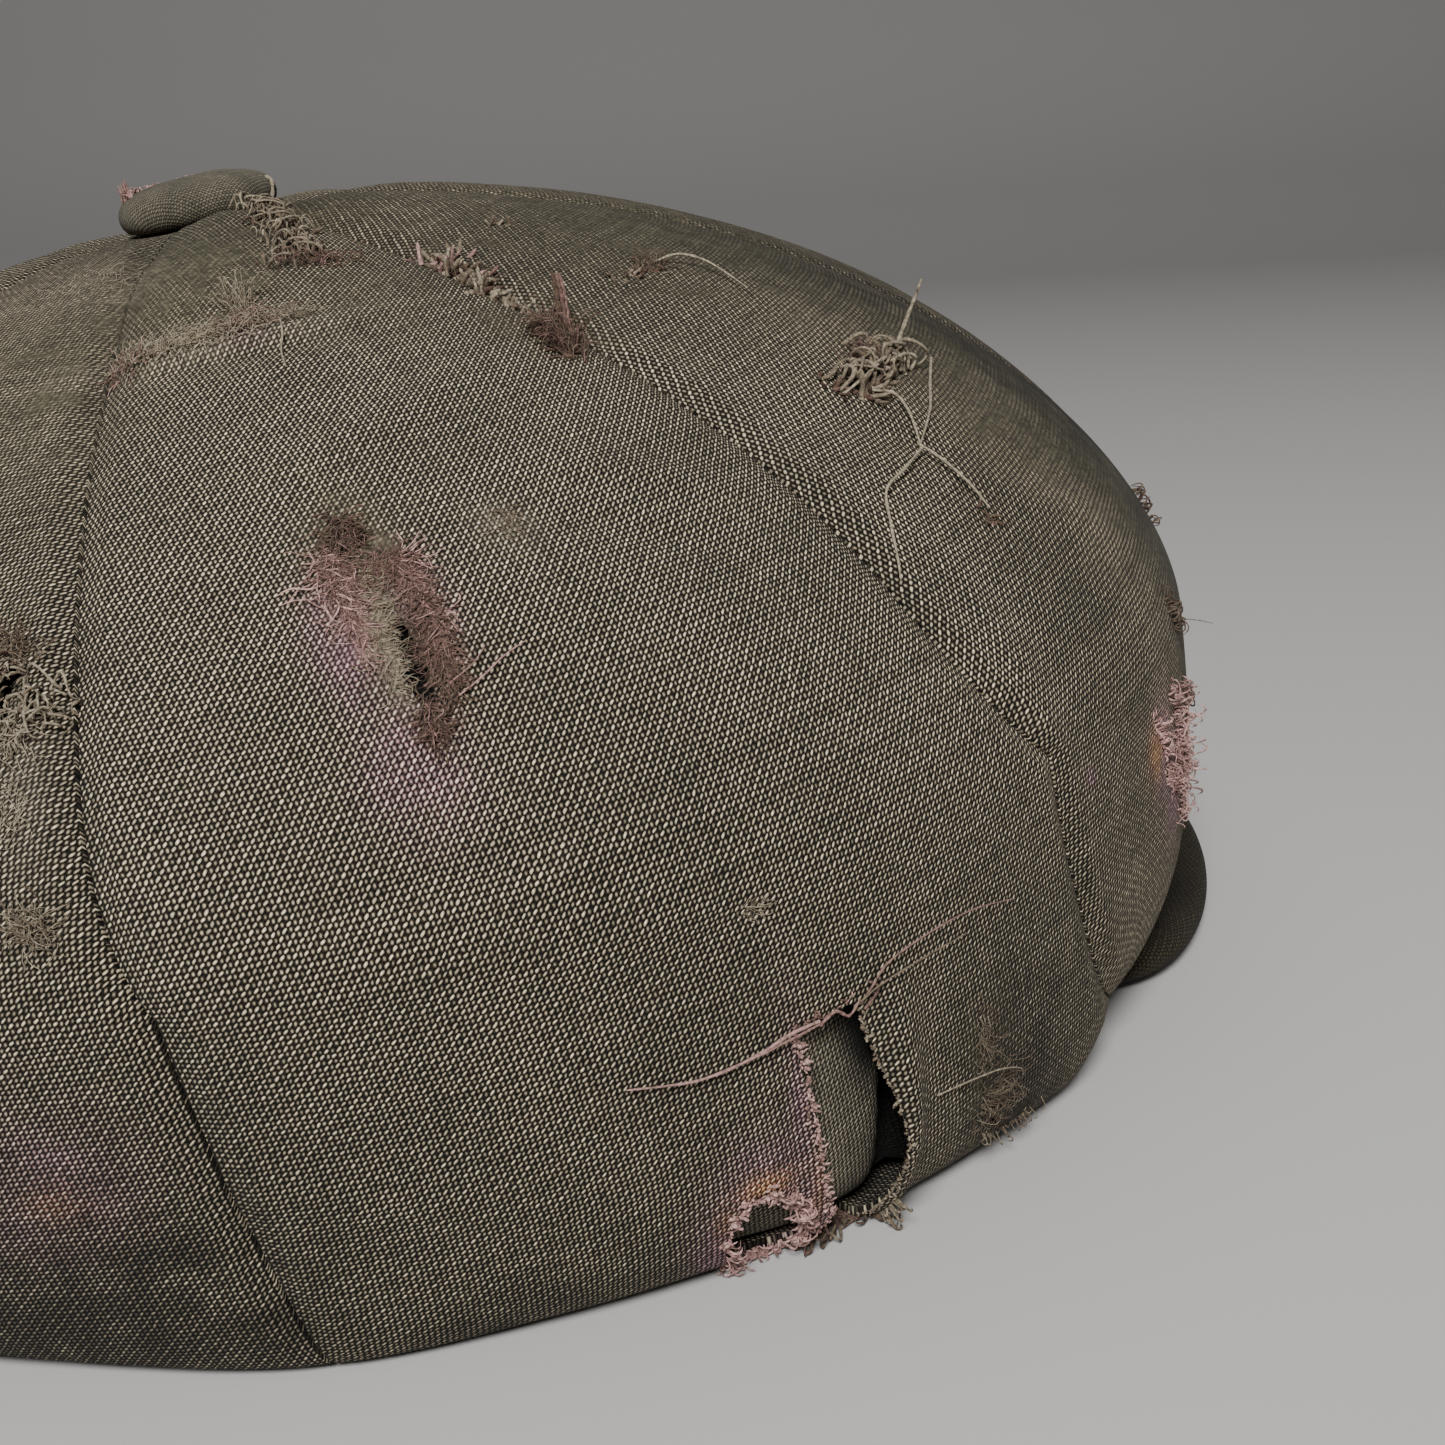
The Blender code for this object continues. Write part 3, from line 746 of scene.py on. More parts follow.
def panel_grid(panel, spacing, start):
    """Azimuths and distances of a panel's grid, with doubled columns at each seam."""
    arc = np.arange(start, ARC[-1], spacing)[:, None]
    s = s_of(arc)
    first, last = seam_azimuth(panel - 1, s), seam_azimuth(panel, s)
    radius = profile(0.5 * (first + last), s)[0]
    count = int(CROWN_RADIUS * PI / 4.0 / spacing)
    t = np.concatenate([[0.0, 0.0], np.linspace(0.0, 1.0, count + 1), [1.0, 1.0]])[None, :]
    edge = 0.5 * CLEAR / radius
    azimuth = first + edge + t * (last - first - 2.0 * edge)
    turn_in = np.zeros(t.shape[1])
    turn_in[[0, -1]] = 0.0026
    turn_in[[1, -2]] = 0.0012
    return azimuth, arc + 0.0 * azimuth, turn_in[None, :] + 0.0 * azimuth


def crown_panel(panel, spacing, mat):
    """One wedge of the crown as a fine sheet whose edges turn in at the seams."""
    azimuth, arc, turn_in = panel_grid(panel, spacing, 0.0062)
    azimuth, arc, inside = cut_holes(panel, azimuth, arc)
    points = cloth_point(panel, azimuth, arc, -turn_in)
    across = (azimuth - math.radians(45.0 * panel)) * radius_at(arc)
    if panel != MAIN:
        across = across + 0.007 * panel
    uv = np.stack([across, arc], axis=-1)
    number = panel % PANELS + 1
    obj = grid_object("crown_cloth_%d" % number, points, uv, mat, paint(azimuth, arc), inside)
    thicken(obj, 0.0010)
    stand_in(obj, "cap", "crown_panel_%d" % number)
    area, width = panel_area(panel)
    return obj, width, area


def lining_panel(panel, spacing, mat):
    """Inner cloth of one wedge, bulging up to the outer cloth where that is torn."""
    azimuth, arc, _ = panel_grid(panel, spacing, 0.0050)
    azimuth, arc = azimuth[:, 1:-1], arc[:, 1:-1]
    swell = 0.0014 * spot(azimuth, arc, (-82.0, 184.0), 6.0, 18.0)
    swell = swell - 0.0050 * spot(azimuth, arc, (-75.2, 185.0), 2.8, 18.0)
    s = s_of(arc)
    depth = LINING_INSET - PANEL_PUFF - swell
    points = crown_surface(azimuth, s) - crown_normal(azimuth, s) * depth[..., None]
    uv = np.stack([(azimuth - math.radians(45.0 * panel)) * radius_at(arc), arc], axis=-1)
    number = panel % PANELS + 1
    # painted shadow on the lining inside the tear and the holes
    shade = painted(azimuth, arc, PAINTED_TEAR_SHADOW, 26)
    obj = grid_object("lining_cloth_%d" % number, points, uv, mat, {"painted_shade_and_grime": shade})
    thicken(obj, LINING)
    stand_in(obj, "cap", "lining_panel_%d" % number)


# ---------------------------------------------------------------- frays
YARN_SINK = 0.0003
GROUND_CLEARANCE = 0.0006


def curl(start, direction, normal, length, bend, lift, count=9):
    """A short yarn that leaves start, wanders sideways and arches off the cloth."""
    side = np.cross(normal, direction)
    turn = np.cumsum(RNG.normal(bend / count, 0.30, count))
    steps = np.cos(turn)[:, None] * direction + np.sin(turn)[:, None] * side
    path = start + np.cumsum(steps, axis=0) * length / count
    share = np.linspace(0.0, 1.0, count)[:, None]
    return path + normal * np.sin(share * PI * 0.75) * lift * length


def frame_at(panel, azimuth_degrees, arc_mm):
    """Point on the cloth with its across, down and outward directions."""
    a, d = math.radians(azimuth_degrees), arc_mm / 1000.0
    point = cloth_point(panel, a, d)
    across = cloth_point(panel, a + 0.004, d) - cloth_point(panel, a - 0.004, d)
    down = cloth_point(panel, a, d + 0.0005) - cloth_point(panel, a, d - 0.0005)
    across, down = across / np.linalg.norm(across), down / np.linalg.norm(down)
    return point, across, down, np.cross(down, across)


def degrees_round(mm, arc_mm):
    """Millimetres round the crown as degrees, at a distance down the cloth."""
    return math.degrees(mm / 1000.0 / float(radius_at(arc_mm / 1000.0)))


def mm_round(degrees, arc_mm):
    return degrees * PI / 180.0 * float(radius_at(arc_mm / 1000.0)) * 1000.0


class Yarns:
    """Collects loose yarns for one panel and makes them one piece; lengths and radii are in millimetres."""

    def __init__(self, name, panel):
        self.name, self.panel = name, panel
        self.paths, self.radii, self.hues = [], [], []

    def add(self, path, radius, hue):
        self.paths.append(path)
        self.radii.append(radius / 1000.0)
        self.hues.append(float(np.clip(hue, 0.0, 1.0)))

    def fringe(self, outline, per_mm, length, hue, radius=0.14, into=1, lift=0.25):
        """Yarn ends standing out from a line of (degrees, mm) places, into its left side."""
        for (a0, d0), (a1, d1) in zip(outline[:-1], outline[1:]):
            round_mm = mm_round(a1 - a0, d0)
            for _ in range(max(int(math.hypot(round_mm, d1 - d0) * per_mm), 1)):
                k = RNG.uniform()
                point, across, down, out = frame_at(self.panel, a0 + (a1 - a0) * k, d0 + (d1 - d0) * k)
                ahead = across * round_mm + down * (d1 - d0)
                ahead = ahead / max(np.linalg.norm(ahead), 1e-9)
                aim = np.cross(out, ahead) * into + ahead * RNG.normal(0.0, 0.45)
                aim = aim / np.linalg.norm(aim)
                size = length / 1000.0 * RNG.uniform(0.35, 1.25)
                bend = RNG.normal(0.0, 1.2)
                path = curl(point - out * YARN_SINK, aim, out, size, bend, RNG.uniform(0.0, 2.0 * lift))
                self.add(path, radius * RNG.uniform(0.6, 1.2), RNG.normal(hue, 0.09))

    def fuzz(self, centre, across_mm, down_mm, count, length, hue, radius=0.04, lift=0.5, lie=None):
        """Fine fibres over a soft patch; lie is the direction, in degrees, they mostly follow."""
        for _ in range(count):
            dx, dy = RNG.normal(0.0, 0.55, 2)
            a = centre[0] + degrees_round(dx * across_mm, centre[1])
            point, across, down, out = frame_at(self.panel, a, centre[1] + dy * down_mm)
            turn = RNG.uniform(0.0, 2.0 * PI) if lie is None else math.radians(lie) + RNG.normal(0.0, 0.5)
            aim = across * math.cos(turn) + down * math.sin(turn)
            size = length / 1000.0 * RNG.uniform(0.4, 1.3)
            path = curl(point, aim, out, size, RNG.normal(0.0, 1.0), RNG.uniform(0.05, lift), 6)
            self.add(path, radius * RNG.uniform(0.7, 1.3), RNG.normal(hue, 0.10))

    def near(self, places, spread):
        """Random point near a line of places, with a random direction along the cloth."""
        k = RNG.uniform(0.0, len(places) - 1.001)
        i = int(k)
        a = places[i][0] + (places[i + 1][0] - places[i][0]) * (k - i)
        d = places[i][1] + (places[i + 1][1] - places[i][1]) * (k - i)
        a += degrees_round(RNG.normal(0.0, spread), d)
        point, across, down, out = frame_at(self.panel, a, d + RNG.normal(0.0, spread))
        turn = RNG.uniform(0.0, 2.0 * PI)
        return point, across * math.cos(turn) + down * math.sin(turn), across, out

    def stubs(self, places, count, length, hue, radius=0.28, spread=0.7):
        """Thick cut yarn ends crowded along a line of places, leaning every way."""
        for _ in range(count):
            point, flat, across, out = self.near(places, spread)
            aim = flat * 0.8 + out * RNG.uniform(0.3, 1.2)
            aim = aim / np.linalg.norm(aim)
            size = length / 1000.0 * RNG.uniform(0.4, 1.3)
            path = curl(point - out * YARN_SINK, aim, np.cross(across, aim), size, 0.0, 0.1, 6)
            self.add(path, radius * RNG.uniform(0.7, 1.2), RNG.normal(hue, 0.12))

    def strand(self, places, radius, hue):
        """One long loose yarn through (degrees, mm, mm off the cloth) places."""
        self.add(smooth_path(places_on_cloth(self.panel, places), 10), radius, hue)

    def loops(self, places, count, size, hue, radius=0.16, spread=0.9):
        """Tufts of little yarn loops standing up along a line of places."""
        for _ in range(count):
            point, aim, _, out = self.near(places, spread)
            side = np.cross(out, aim)
            tall = size / 1000.0 * RNG.uniform(0.4, 1.3)
            bow = np.linspace(0.0, 1.0, 10)[:, None]
            sway = RNG.normal(0.0, 0.35) * np.sin(bow * 2.0 * PI) + RNG.normal(0.0, 0.35) * bow
            rise = 0.7 * np.sin(bow * PI)
            path = point + (aim * (bow - 0.5) + side * sway + out * rise) * tall
            self.add(path, radius * RNG.uniform(0.7, 1.2), RNG.normal(hue, 0.10))

    def make(self, mat, body="cap"):
        """One piece of all the yarns; those that reach the ground lie on it."""
        laid = [np.maximum(path, [-1.0, -1.0, GROUND_CLEARANCE]) for path in self.paths]
        obj = tubes(self.name, laid, self.radii, self.hues, mat)
        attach(obj, body)
        return obj


def places_on_cloth(panel, places):
    """Points from (degrees, mm, mm off the cloth) places."""
    return [cloth_point(panel, math.radians(a), d / 1000.0, h / 1000.0) for a, d, h in places]


def smooth_path(knots, per_span):
    """Smooth curve through the knots, with per_span points from each knot to the next."""
    knots = np.array(knots)
    share = np.linspace(0.0, len(knots) - 1.0, per_span * (len(knots) - 1) + 1)
    i = np.clip(share.astype(int), 0, len(knots) - 2)
    f = (share - i)[:, None]
    before, after = knots[np.maximum(i - 1, 0)], knots[np.minimum(i + 2, len(knots) - 1)]
    a, b = knots[i], knots[i + 1]
    return 0.5 * (2 * a + (b - before) * f + (2 * before - 5 * a + 4 * b - after) * f ** 2
                  + (3 * a - before - 3 * b + after) * f ** 3)


def main_frays():
    """Frays of the wide panel: worn hole, lower tear, hem hole, top tufts."""
    y = Yarns("frays_main", MAIN)
    hole = HOLES[MAIN]
    y.fuzz((-97.5, 110), 1.1, 4.6, 380, 3.2, 0.66, 0.05, lie=85, lift=0.2)
    y.fuzz((-98.4, 110), 0.4, 4.2, 24, 4.8, 0.90, 0.1, lie=85, lift=0.15)
    y.fuzz((-97.6, 116.5), 0.8, 5, 200, 3, 0.78, 0.05, lie=70, lift=0.2)
    y.fuzz((-96.7, 118.5), 1.1, 7.5, 620, 2.4, 0.14, 0.05, lie=15, lift=0.2)
    y.fuzz((-95.3, 111), 2.2, 1, 260, 3, 0.60, 0.05, lie=10, lift=0.2)
    y.fuzz((-93.9, 113), 1.2, 3, 260, 2.8, 0.70, 0.05, lie=75, lift=0.2)
    y.fuzz((-93.6, 119), 1.1, 4.6, 420, 3, 0.62, 0.05, lie=95, lift=0.25)
    y.fuzz((-94, 124), 1, 4, 260, 2.8, 0.54, 0.05, lie=100, lift=0.25)
    y.fuzz((-92.7, 118), 0.4, 4.4, 16, 4.2, 0.92, 0.09, lie=92, lift=0.15)
    y.fuzz((-94, 110.2), 1.4, 0.5, 12, 4, 0.90, 0.09, lie=15, lift=0.15)
    y.stubs([(-96.8, 103.2), (-96.4, 107.2)], 22, 1.4, 0.50, 0.16, 0.6)
    y.fuzz((-96.4, 105.2), 1.1, 2.2, 300, 2.8, 0.50, 0.06, lie=80, lift=0.5)
    y.fuzz((-95.4, 129.8), 0.7, 2.4, 240, 2.8, 0.55, 0.06, lie=95)
    y.fringe(hole[2] + hole[2][:1], 3.6, 1, 0.50, 0.06, -1)
    y.strand([(-93.8, 128.2, 0.4), (-92.4, 127, 0.8), (-91, 125.4, 0.8), (-89.6, 124.2, 0.5)], 0.12, 0.86)
    y.strand([(-94, 126.6, 0.3), (-92.6, 125.4, 0.8), (-91.6, 123.6, 0.6)], 0.09, 0.80)
    y.fuzz((-87.3, 108.6), 1.6, 2.4, 50, 2.4, 0.28, lie=60, lift=0.2)
    tear = hole[0]
    left_rim = [(-82.9, 170.8), (-82.6, 174.8), (-82.2, 182.2), (-81.8, 189), (-80.9, 196), (-81, 201)]
    right_rim = [(-78.2, 203), (-77.6, 195.6), (-77.3, 187.9), (-78, 180.5), (-79, 173.6), (-79.3, 170)]
    y.fringe(left_rim, 2.2, 1.1, 0.90, 0.14, 1, 0.10)
    y.stubs(left_rim, 120, 0.9, 0.86, 0.22, 0.20)
    y.fringe(right_rim, 2, 0.5, 0.24, 0.14, 1, 0.3)
    y.stubs(right_rim, 110, 0.7, 0.22, 0.18, 0.12)
    y.fringe(tear[0:3], 3, 1.4, 0.70, 0.14, 1, 0.3)
    y.strand([(-81.6, 170.3, 0.2), (-83.4, 170.2, 0.9), (-85.4, 171.2, 0.9), (-88.2, 171.8, 0.8),
              (-91.6, 170.6, 0.7)], 0.2, 0.84)
    y.strand([(-81.4, 170.6, 0.2), (-83.6, 170.7, 1.1), (-85.8, 171.5, 0.8), (-88.4, 171.9, 0.6)],
             0.14, 0.76)
    y.strand([(-79.2, 170.2, 0.2), (-78.6, 168.4, 0.8), (-77.6, 166.2, 1.2), (-74.9, 165, 1.6),
              (-72, 164.9, 1.8), (-68.4, 166.8, 1.2)], 0.13, 0.74)
    y.strand([(-79.6, 170.4, 0.2), (-78.4, 168.6, 1), (-76.6, 167.6, 1.3), (-74.2, 167.4, 1.4),
              (-72.2, 167.6, 1)], 0.13, 0.30)
    y.strand([(-81.6, 170.8, 0.2), (-80.8, 169.6, 0.7), (-80, 170.8, 0.5), (-79.3, 169.4, 0.6)], 0.2, 0.76)
    y.strand([(-79, 171, 0.2), (-78.2, 169, 0.5), (-78.9, 167.6, 0.7)], 0.18, 0.66)
    rim = hole[1] + hole[1][:1]
    y.stubs(rim[0:6], 90, 1.2, 0.90, 0.24, 0.30)
    y.fringe(rim[0:5], 3, 1.4, 0.92, 0.16, -1, 0.15)
    y.fringe(rim[4:7], 4, 2.2, 0.94, 0.18, -1, 0.20)
    y.fringe(rim[6:10], 3.6, 2.2, 0.86, 0.13, -1, 0.4)
    y.loops(rim[3:7], 40, 1.4, 0.92, 0.15, 0.6)
    y.fringe([(-86.6, 201), (-84.8, 202.6), (-82.6, 202.4), (-80.8, 203)], 6, 2.8, 0.82, 0.12, -1, 0.9)
    y.loops([(-86.2, 201.4), (-84, 202.4), (-82, 202)], 40, 1.8, 0.80, 0.14, 0.6)
    y.strand([(-85, 202, 0.4), (-83.4, 203, 2.4), (-82.2, 203.2, 4.2), (-81, 202.8, 4.6)], 0.13, 0.82)
    y.fringe([(-81.4, 202), (-79, 203.2), (-76.4, 202)], 6, 2.8, 0.40, 0.16, -1, 0.9)
    y.loops([(-81.4, 202.5), (-79, 205), (-76.6, 203)], 200, 3, 0.48, 0.18, 1.5)
    y.fringe([(-77.2, 196), (-77.4, 202)], 5, 1.8, 0.25, 0.15, 1, 0.9)
    y.fuzz((-71, 181), 1.2, 4, 60, 3.6, 0.34, lie=80)
    y.fuzz((-70, 190), 3.2, 3, 110, 3.6, 0.36, lie=20)
    y.strand([(-74.6, 185, 0.3), (-72, 185, 1), (-70, 185.6, 1.2), (-68, 187.6, 0.8), (-67.4, 189.4, 0.4)],
             0.12, 0.10)
    y.fringe([(-70, 195), (-68.6, 197), (-66, 197), (-64, 196)], 4, 1.6, 0.30, 0.1, -1, 0.6)
    y.fuzz((-97.2, 59.6), 1.5, 2, 80, 3.6, 0.14, 0.06, 0.9, lie=-90)
    y.fuzz((-97.6, 64.6), 3.4, 1.5, 120, 3.2, 0.62, 0.05, 0.5)
    y.fuzz((-104, 66), 10, 1.3, 360, 2.8, 0.06, 0.06, 0.5, lie=-20)
    y.fuzz((-110.5, 66.5), 3, 1.2, 60, 3, 0.70, 0.06, 0.5)
    y.fuzz((-93.5, 65), 3, 1.4, 80, 3, 0.12, 0.05, 0.6)
    y.strand([(-94, 66, 0.3), (-94.4, 69, 0.7), (-95.2, 72, 0.6), (-95.5, 76, 0.3)], 0.14, 0.05)
    y.stubs([(-66, 54), (-68, 58), (-70, 62), (-71.2, 67)], 90, 3.2, 0.24, 0.4, 1.4)
    y.stubs([(-67, 56), (-69, 61)], 24, 3.6, 0.78, 0.36, 1.8)
    y.fuzz((-69, 62), 2.4, 5, 160, 3, 0.56, 0.06, 0.7)
    y.stubs([(-71.2, 67), (-69.4, 71), (-70.2, 77), (-71.8, 82)], 110, 2, 0.22, 0.34, 0.9)
    y.fuzz((-72.2, 84), 0.8, 3, 300, 4, 0.52, 0.09, 0.9, lie=-90)
    for lean in (-0.5, 0, 0.4):
        y.strand([(-72.0 + lean, 84, 0.4), (-70.6 + lean, 81, 3), (-69.8 + lean, 79, 5.6),
                  (-69.4 + lean, 77.6, 7.4)], 0.42, 0.60 + 0.2 * lean)
    y.stubs([(-70.6, 81), (-72.4, 85)], 30, 3, 0.56, 0.36, 0.6)
    y.loops([(-80, 24), (-82, 32), (-84.5, 42), (-85.5, 50)], 120, 2.6, 0.24, 0.18, 1.7)
    y.stubs([(-83, 38), (-85.5, 50)], 44, 2.4, 0.30, 0.3, 1.8)
    y.fuzz((-84.5, 50), 4, 2, 110, 3.2, 0.56, 0.07, 0.6)
    y.fuzz((-84, 156), 1.4, 0.7, 30, 1.8, 0.18, 0.05, 0.25, lie=0)
    return y


def left_frays():
    """Frays of the panel left of the wide one: black hole with pale yarns, tuft below it."""
    y = Yarns("frays_left", LEFT)
    rim = HOLES[LEFT][0]
    y.fringe(rim + rim[:1], 3.2, 1.8, 0.12, 0.15, -1, 0.4)
    y.fuzz((-115.6, 112.6), 2, 2, 90, 3.4, 0.40, 0.06, 0.6)
    y.loops([(-116.4, 120), (-115, 122), (-114, 119)], 40, 2.4, 0.10, 0.16, 1.2)
    y.fuzz((-116, 122), 2, 2.4, 80, 4, 0.08, 0.07, 0.4, lie=95)
    y.fuzz((-115.6, 130), 1.8, 4, 50, 2.4, 0.05, 0.05, 0.2, lie=90)
    y.fuzz((-114.8, 143.8), 1.6, 1.6, 120, 2.8, 0.20, 0.06, 0.7)
    y.fuzz((-118, 40), 8, 6, 120, 2.4, 0.10, 0.04, 0.4)
    return y


def right_frays():
    """Frays of the panel towards the peak: laddered tear, knobbly yarns, rim fringe."""
    y = Yarns("frays_right", RIGHT)
    y.stubs([(-57.2, 104), (-56.8, 106.5)], 16, 2.4, 0.50, 0.26)
    y.loops([(-55.6, 105.6), (-52.6, 105.4), (-49, 106), (-46.2, 105.4)], 60, 3, 0.20, 0.26, 1)
    y.stubs([(-55.8, 107.4), (-53.6, 108.4), (-50, 106), (-47, 104)], 80, 2.8, 0.30, 0.34, 1)
    y.fuzz((-50, 104.4), 5, 1.8, 160, 3, 0.54, 0.06, 0.6)
    y.strand([(-57.2, 107.2, 0.4), (-54, 107, 1.6), (-50.6, 106.4, 1.8), (-47, 106, 1)], 0.2, 0.02)
    y.strand([(-46, 105.4, 0.4), (-44.4, 104.6, 3), (-43.2, 104, 6), (-42.6, 103.6, 8.6)], 0.3, 0.10)
    y.strand([(-55, 108.2, 0.4), (-53.6, 110.4, 1), (-54.8, 113.8, 1.4), (-57, 118.2, 1.2)], 0.22, 0.04)
    y.strand([(-57, 118.2, 1.2), (-60.4, 119.6, 1.2), (-63.4, 121, 1.4), (-65.2, 124.6, 1.3),
              (-66.4, 128.4, 0.9), (-67, 130.8, 0.6)], 0.2, 0.02)
    y.strand([(-44.6, 109.4, 1), (-48.6, 111.8, 0.8), (-52.6, 114.8, 1.1), (-56.8, 117.8, 1.2)], 0.22, 0.06)
    y.strand([(-56.6, 117.4, 1.2), (-56.6, 121, 1.1), (-56.8, 125, 1.2), (-57, 128.2, 1)], 0.22, 0.04)
    y.stubs([(-57, 128.2), (-57.2, 129.4)], 14, 2, 0.45, 0.2, 0.4)
    rim = HOLES[RIGHT]
    y.fringe([(-50.6, 161), (-49.4, 164), (-48.4, 169), (-46.6, 175)], 4, 2, 0.92, 0.14, 1, 0.5)
    y.fringe([(-46.2, 160), (-44.8, 166), (-43.8, 174), (-43.2, 182)], 4, 2.4, 0.93, 0.14, 1, 0.7)
    y.loops([(-46.2, 160), (-44.8, 166), (-43.8, 174), (-43.2, 182)], 70, 1.8, 0.93, 0.14, 1.2)
    y.fringe(rim[2] + rim[2][:1], 4, 1.2, 0.92, 0.12, -1, 0.7)
    y.fringe(rim[3] + rim[3][:1], 4, 1.4, 0.90, 0.12, -1, 0.7)
    y.fuzz((-45.8, 171), 2.4, 5, 90, 2.8, 0.90, 0.07, 0.9)
    y.loops([(-42.8, 150), (-42, 154)], 24, 1.8, 0.42, 0.12, 0.8)
    y.loops([(-28.4, 143), (-28, 147)], 24, 1.8, 0.42, 0.12, 0.8)
    y.loops([(-41.4, 163), (-41, 166)], 20, 1.6, 0.60, 0.12, 0.7)
    y.strand([(-42, 153, 0.4), (-41, 154, 2.5), (-40, 155, 4.5)], 0.07, 0.30)
    y.fuzz((-52.4, 75.4), 2.2, 1.4, 60, 2.8, 0.44, 0.06, 0.6)
    y.stubs([(-58.6, 76), (-55, 75.6), (-52.4, 75.2)], 40, 1.8, 0.40, 0.22)
    y.strand([(-52, 75.4, 0.4), (-49.6, 77, 1.4), (-48.6, 80.6, 1.4), (-49.8, 87, 0.8)], 0.2, 0.02)
    y.stubs([(-56.4, 53), (-54, 55)], 14, 1.8, 0.34, 0.24)
    return y


# ---------------------------------------------------------------- band, sweatband, peak, button
def oval_strip(name, node, inset_low, inset_high, low, high, thickness, mat):
    count = 240
    levels = np.linspace(high, low, 13)[:, None]
    azimuth = np.linspace(-PI, PI, count + 1)[None, :]
    share = (levels - low) / (high - low)
    ripple = 0.0003 * fractal(azimuth * 9.0, levels * 90.0, 4, 2)
    radius = band_radius(azimuth) - inset_low - (inset_high - inset_low) * share + ripple
    heights = levels + 0.0 * azimuth
    points = np.stack([radius * np.cos(azimuth), radius * np.sin(azimuth), heights], axis=-1) + SHIFT
    points[:, 0, 1] += 0.0001
    points[:, -1, 1] -= 0.0001
    uv = np.stack([azimuth * BAND_MEAN + 0.0 * levels, heights], axis=-1)
    obj = grid_object(name, points, uv, mat)
    thicken(obj, thickness)
    stand_in(obj, "cap", node)


def peak_point(angle, share, inset, height):
    half = PEAK_HALF_ANGLE - inset / BAND_LONG
    bow = np.sqrt(1.0 - np.minimum(np.abs(angle) / half, 1.0) ** PEAK_SQUARE)
    reach = (PEAK_REACH - PEAK_ROOT_GAP - inset) * bow * share
    radius = band_radius(angle) + PEAK_ROOT_GAP + reach
    drop = (PEAK_TIP_Z - PEAK_ROOT_Z) * (reach / PEAK_REACH) ** 1.5
    z = PEAK_ROOT_Z + drop + height + 0.0 * angle
    return np.stack([radius * np.cos(angle), radius * np.sin(angle), z], axis=-1) + SHIFT


def peak_sheet(name, node, rows, inset, thickness, mat):
    """Cloth over the peak from rows of (share of reach, inset, height above the underside)."""
    limit = PEAK_HALF_ANGLE - inset / BAND_LONG - math.radians(0.5)
    angle = limit * np.sin(np.linspace(-0.5 * PI, 0.5 * PI, 121))
    points = np.stack([peak_point(angle, share, drawn, height) for share, drawn, height in rows])
    down = np.cumsum([0.0] + [np.linalg.norm(b[60] - a[60]) for a, b in zip(points[:-1], points[1:])])
    down = down[:, None]
    uv = np.stack([angle * 0.12 + 0.0 * down, down + 0.0 * angle], axis=-1)
    obj = grid_object(name, points, uv, mat)
    thicken(obj, thickness)
    stand_in(obj, "peak", node)


def peak(mat):
    full = PEAK_THICK + 2.0 * CLEAR
    top = [(share, 0.0022, full) for share in np.linspace(0.0, 0.96, 15)]
    turn = np.linspace(0.0, PI, 13)
    roll = [(1.0, 0.0022 - 0.0018 * math.sin(u), full * (0.58 + 0.42 * math.cos(u))) for u in turn[:-1]]
    peak_sheet("peak_cloth_top", "peak_top_cover", top + roll, 0.0010, COVER * 0.9, mat)
    under = [(share, 0.0032, COVER) for share in np.linspace(0.0, 1.0, 14)]
    peak_sheet("peak_cloth_under", "peak_under_cover", under, 0.0032, COVER * 0.9, mat)


def button_frame():
    apex = Vector(crown_surface(np.array(0.0), np.array(0.0)))
    return Matrix.Translation(apex) @ Matrix.Rotation(-BUTTON_TILT, 4, "Y")


def button_cloth(place, mat):
    """Cloth over the button: a lumpy, worn dome turned under at its rim."""
    turn = np.linspace(0.0, 2.0 * PI, 73)[None, :]
    u = np.linspace(0.02, 0.5 * PI, 18)
    rolled_in = [BUTTON_RADIUS - 0.0002, BUTTON_RADIUS - 0.0006, 0.0095, 0.0086]
    radius = np.concatenate([BUTTON_RADIUS * np.sin(u) ** 0.9, rolled_in])[:, None]
    height = np.concatenate([BUTTON_DOME * np.cos(u) ** 0.8, [-0.0007, -0.0013, -0.0017, -0.0015]])[:, None]
    x, y = radius * np.cos(turn), radius * np.sin(turn)
    lumps = fractal(x / 0.006, y / 0.006, 31, 3)
    grow = 1.0 + 0.07 * fractal(np.cos(turn) * 1.7, np.sin(turn) * 1.7, 32, 2)
    z = height + 0.0009 * lumps * smooth((height + 0.001) / 0.002)
    points = np.stack([x * grow, y * grow, z + 0.0 * turn], axis=-1)
    points[:, -1] = points[:, 0]
    steps = np.hypot(np.diff(radius[:, 0]), np.diff(height[:, 0]))
    reach = np.cumsum(np.concatenate([[0.0], steps]))[:, None]
    flat = np.stack([reach * np.cos(turn), reach * np.sin(turn)], axis=-1)
    obj = grid_object("button_cloth", moved(place, points)[:, ::-1], flat[:, ::-1], mat)
    thicken(obj, 0.0006)
    stand_in(obj, "button", "button_cover")


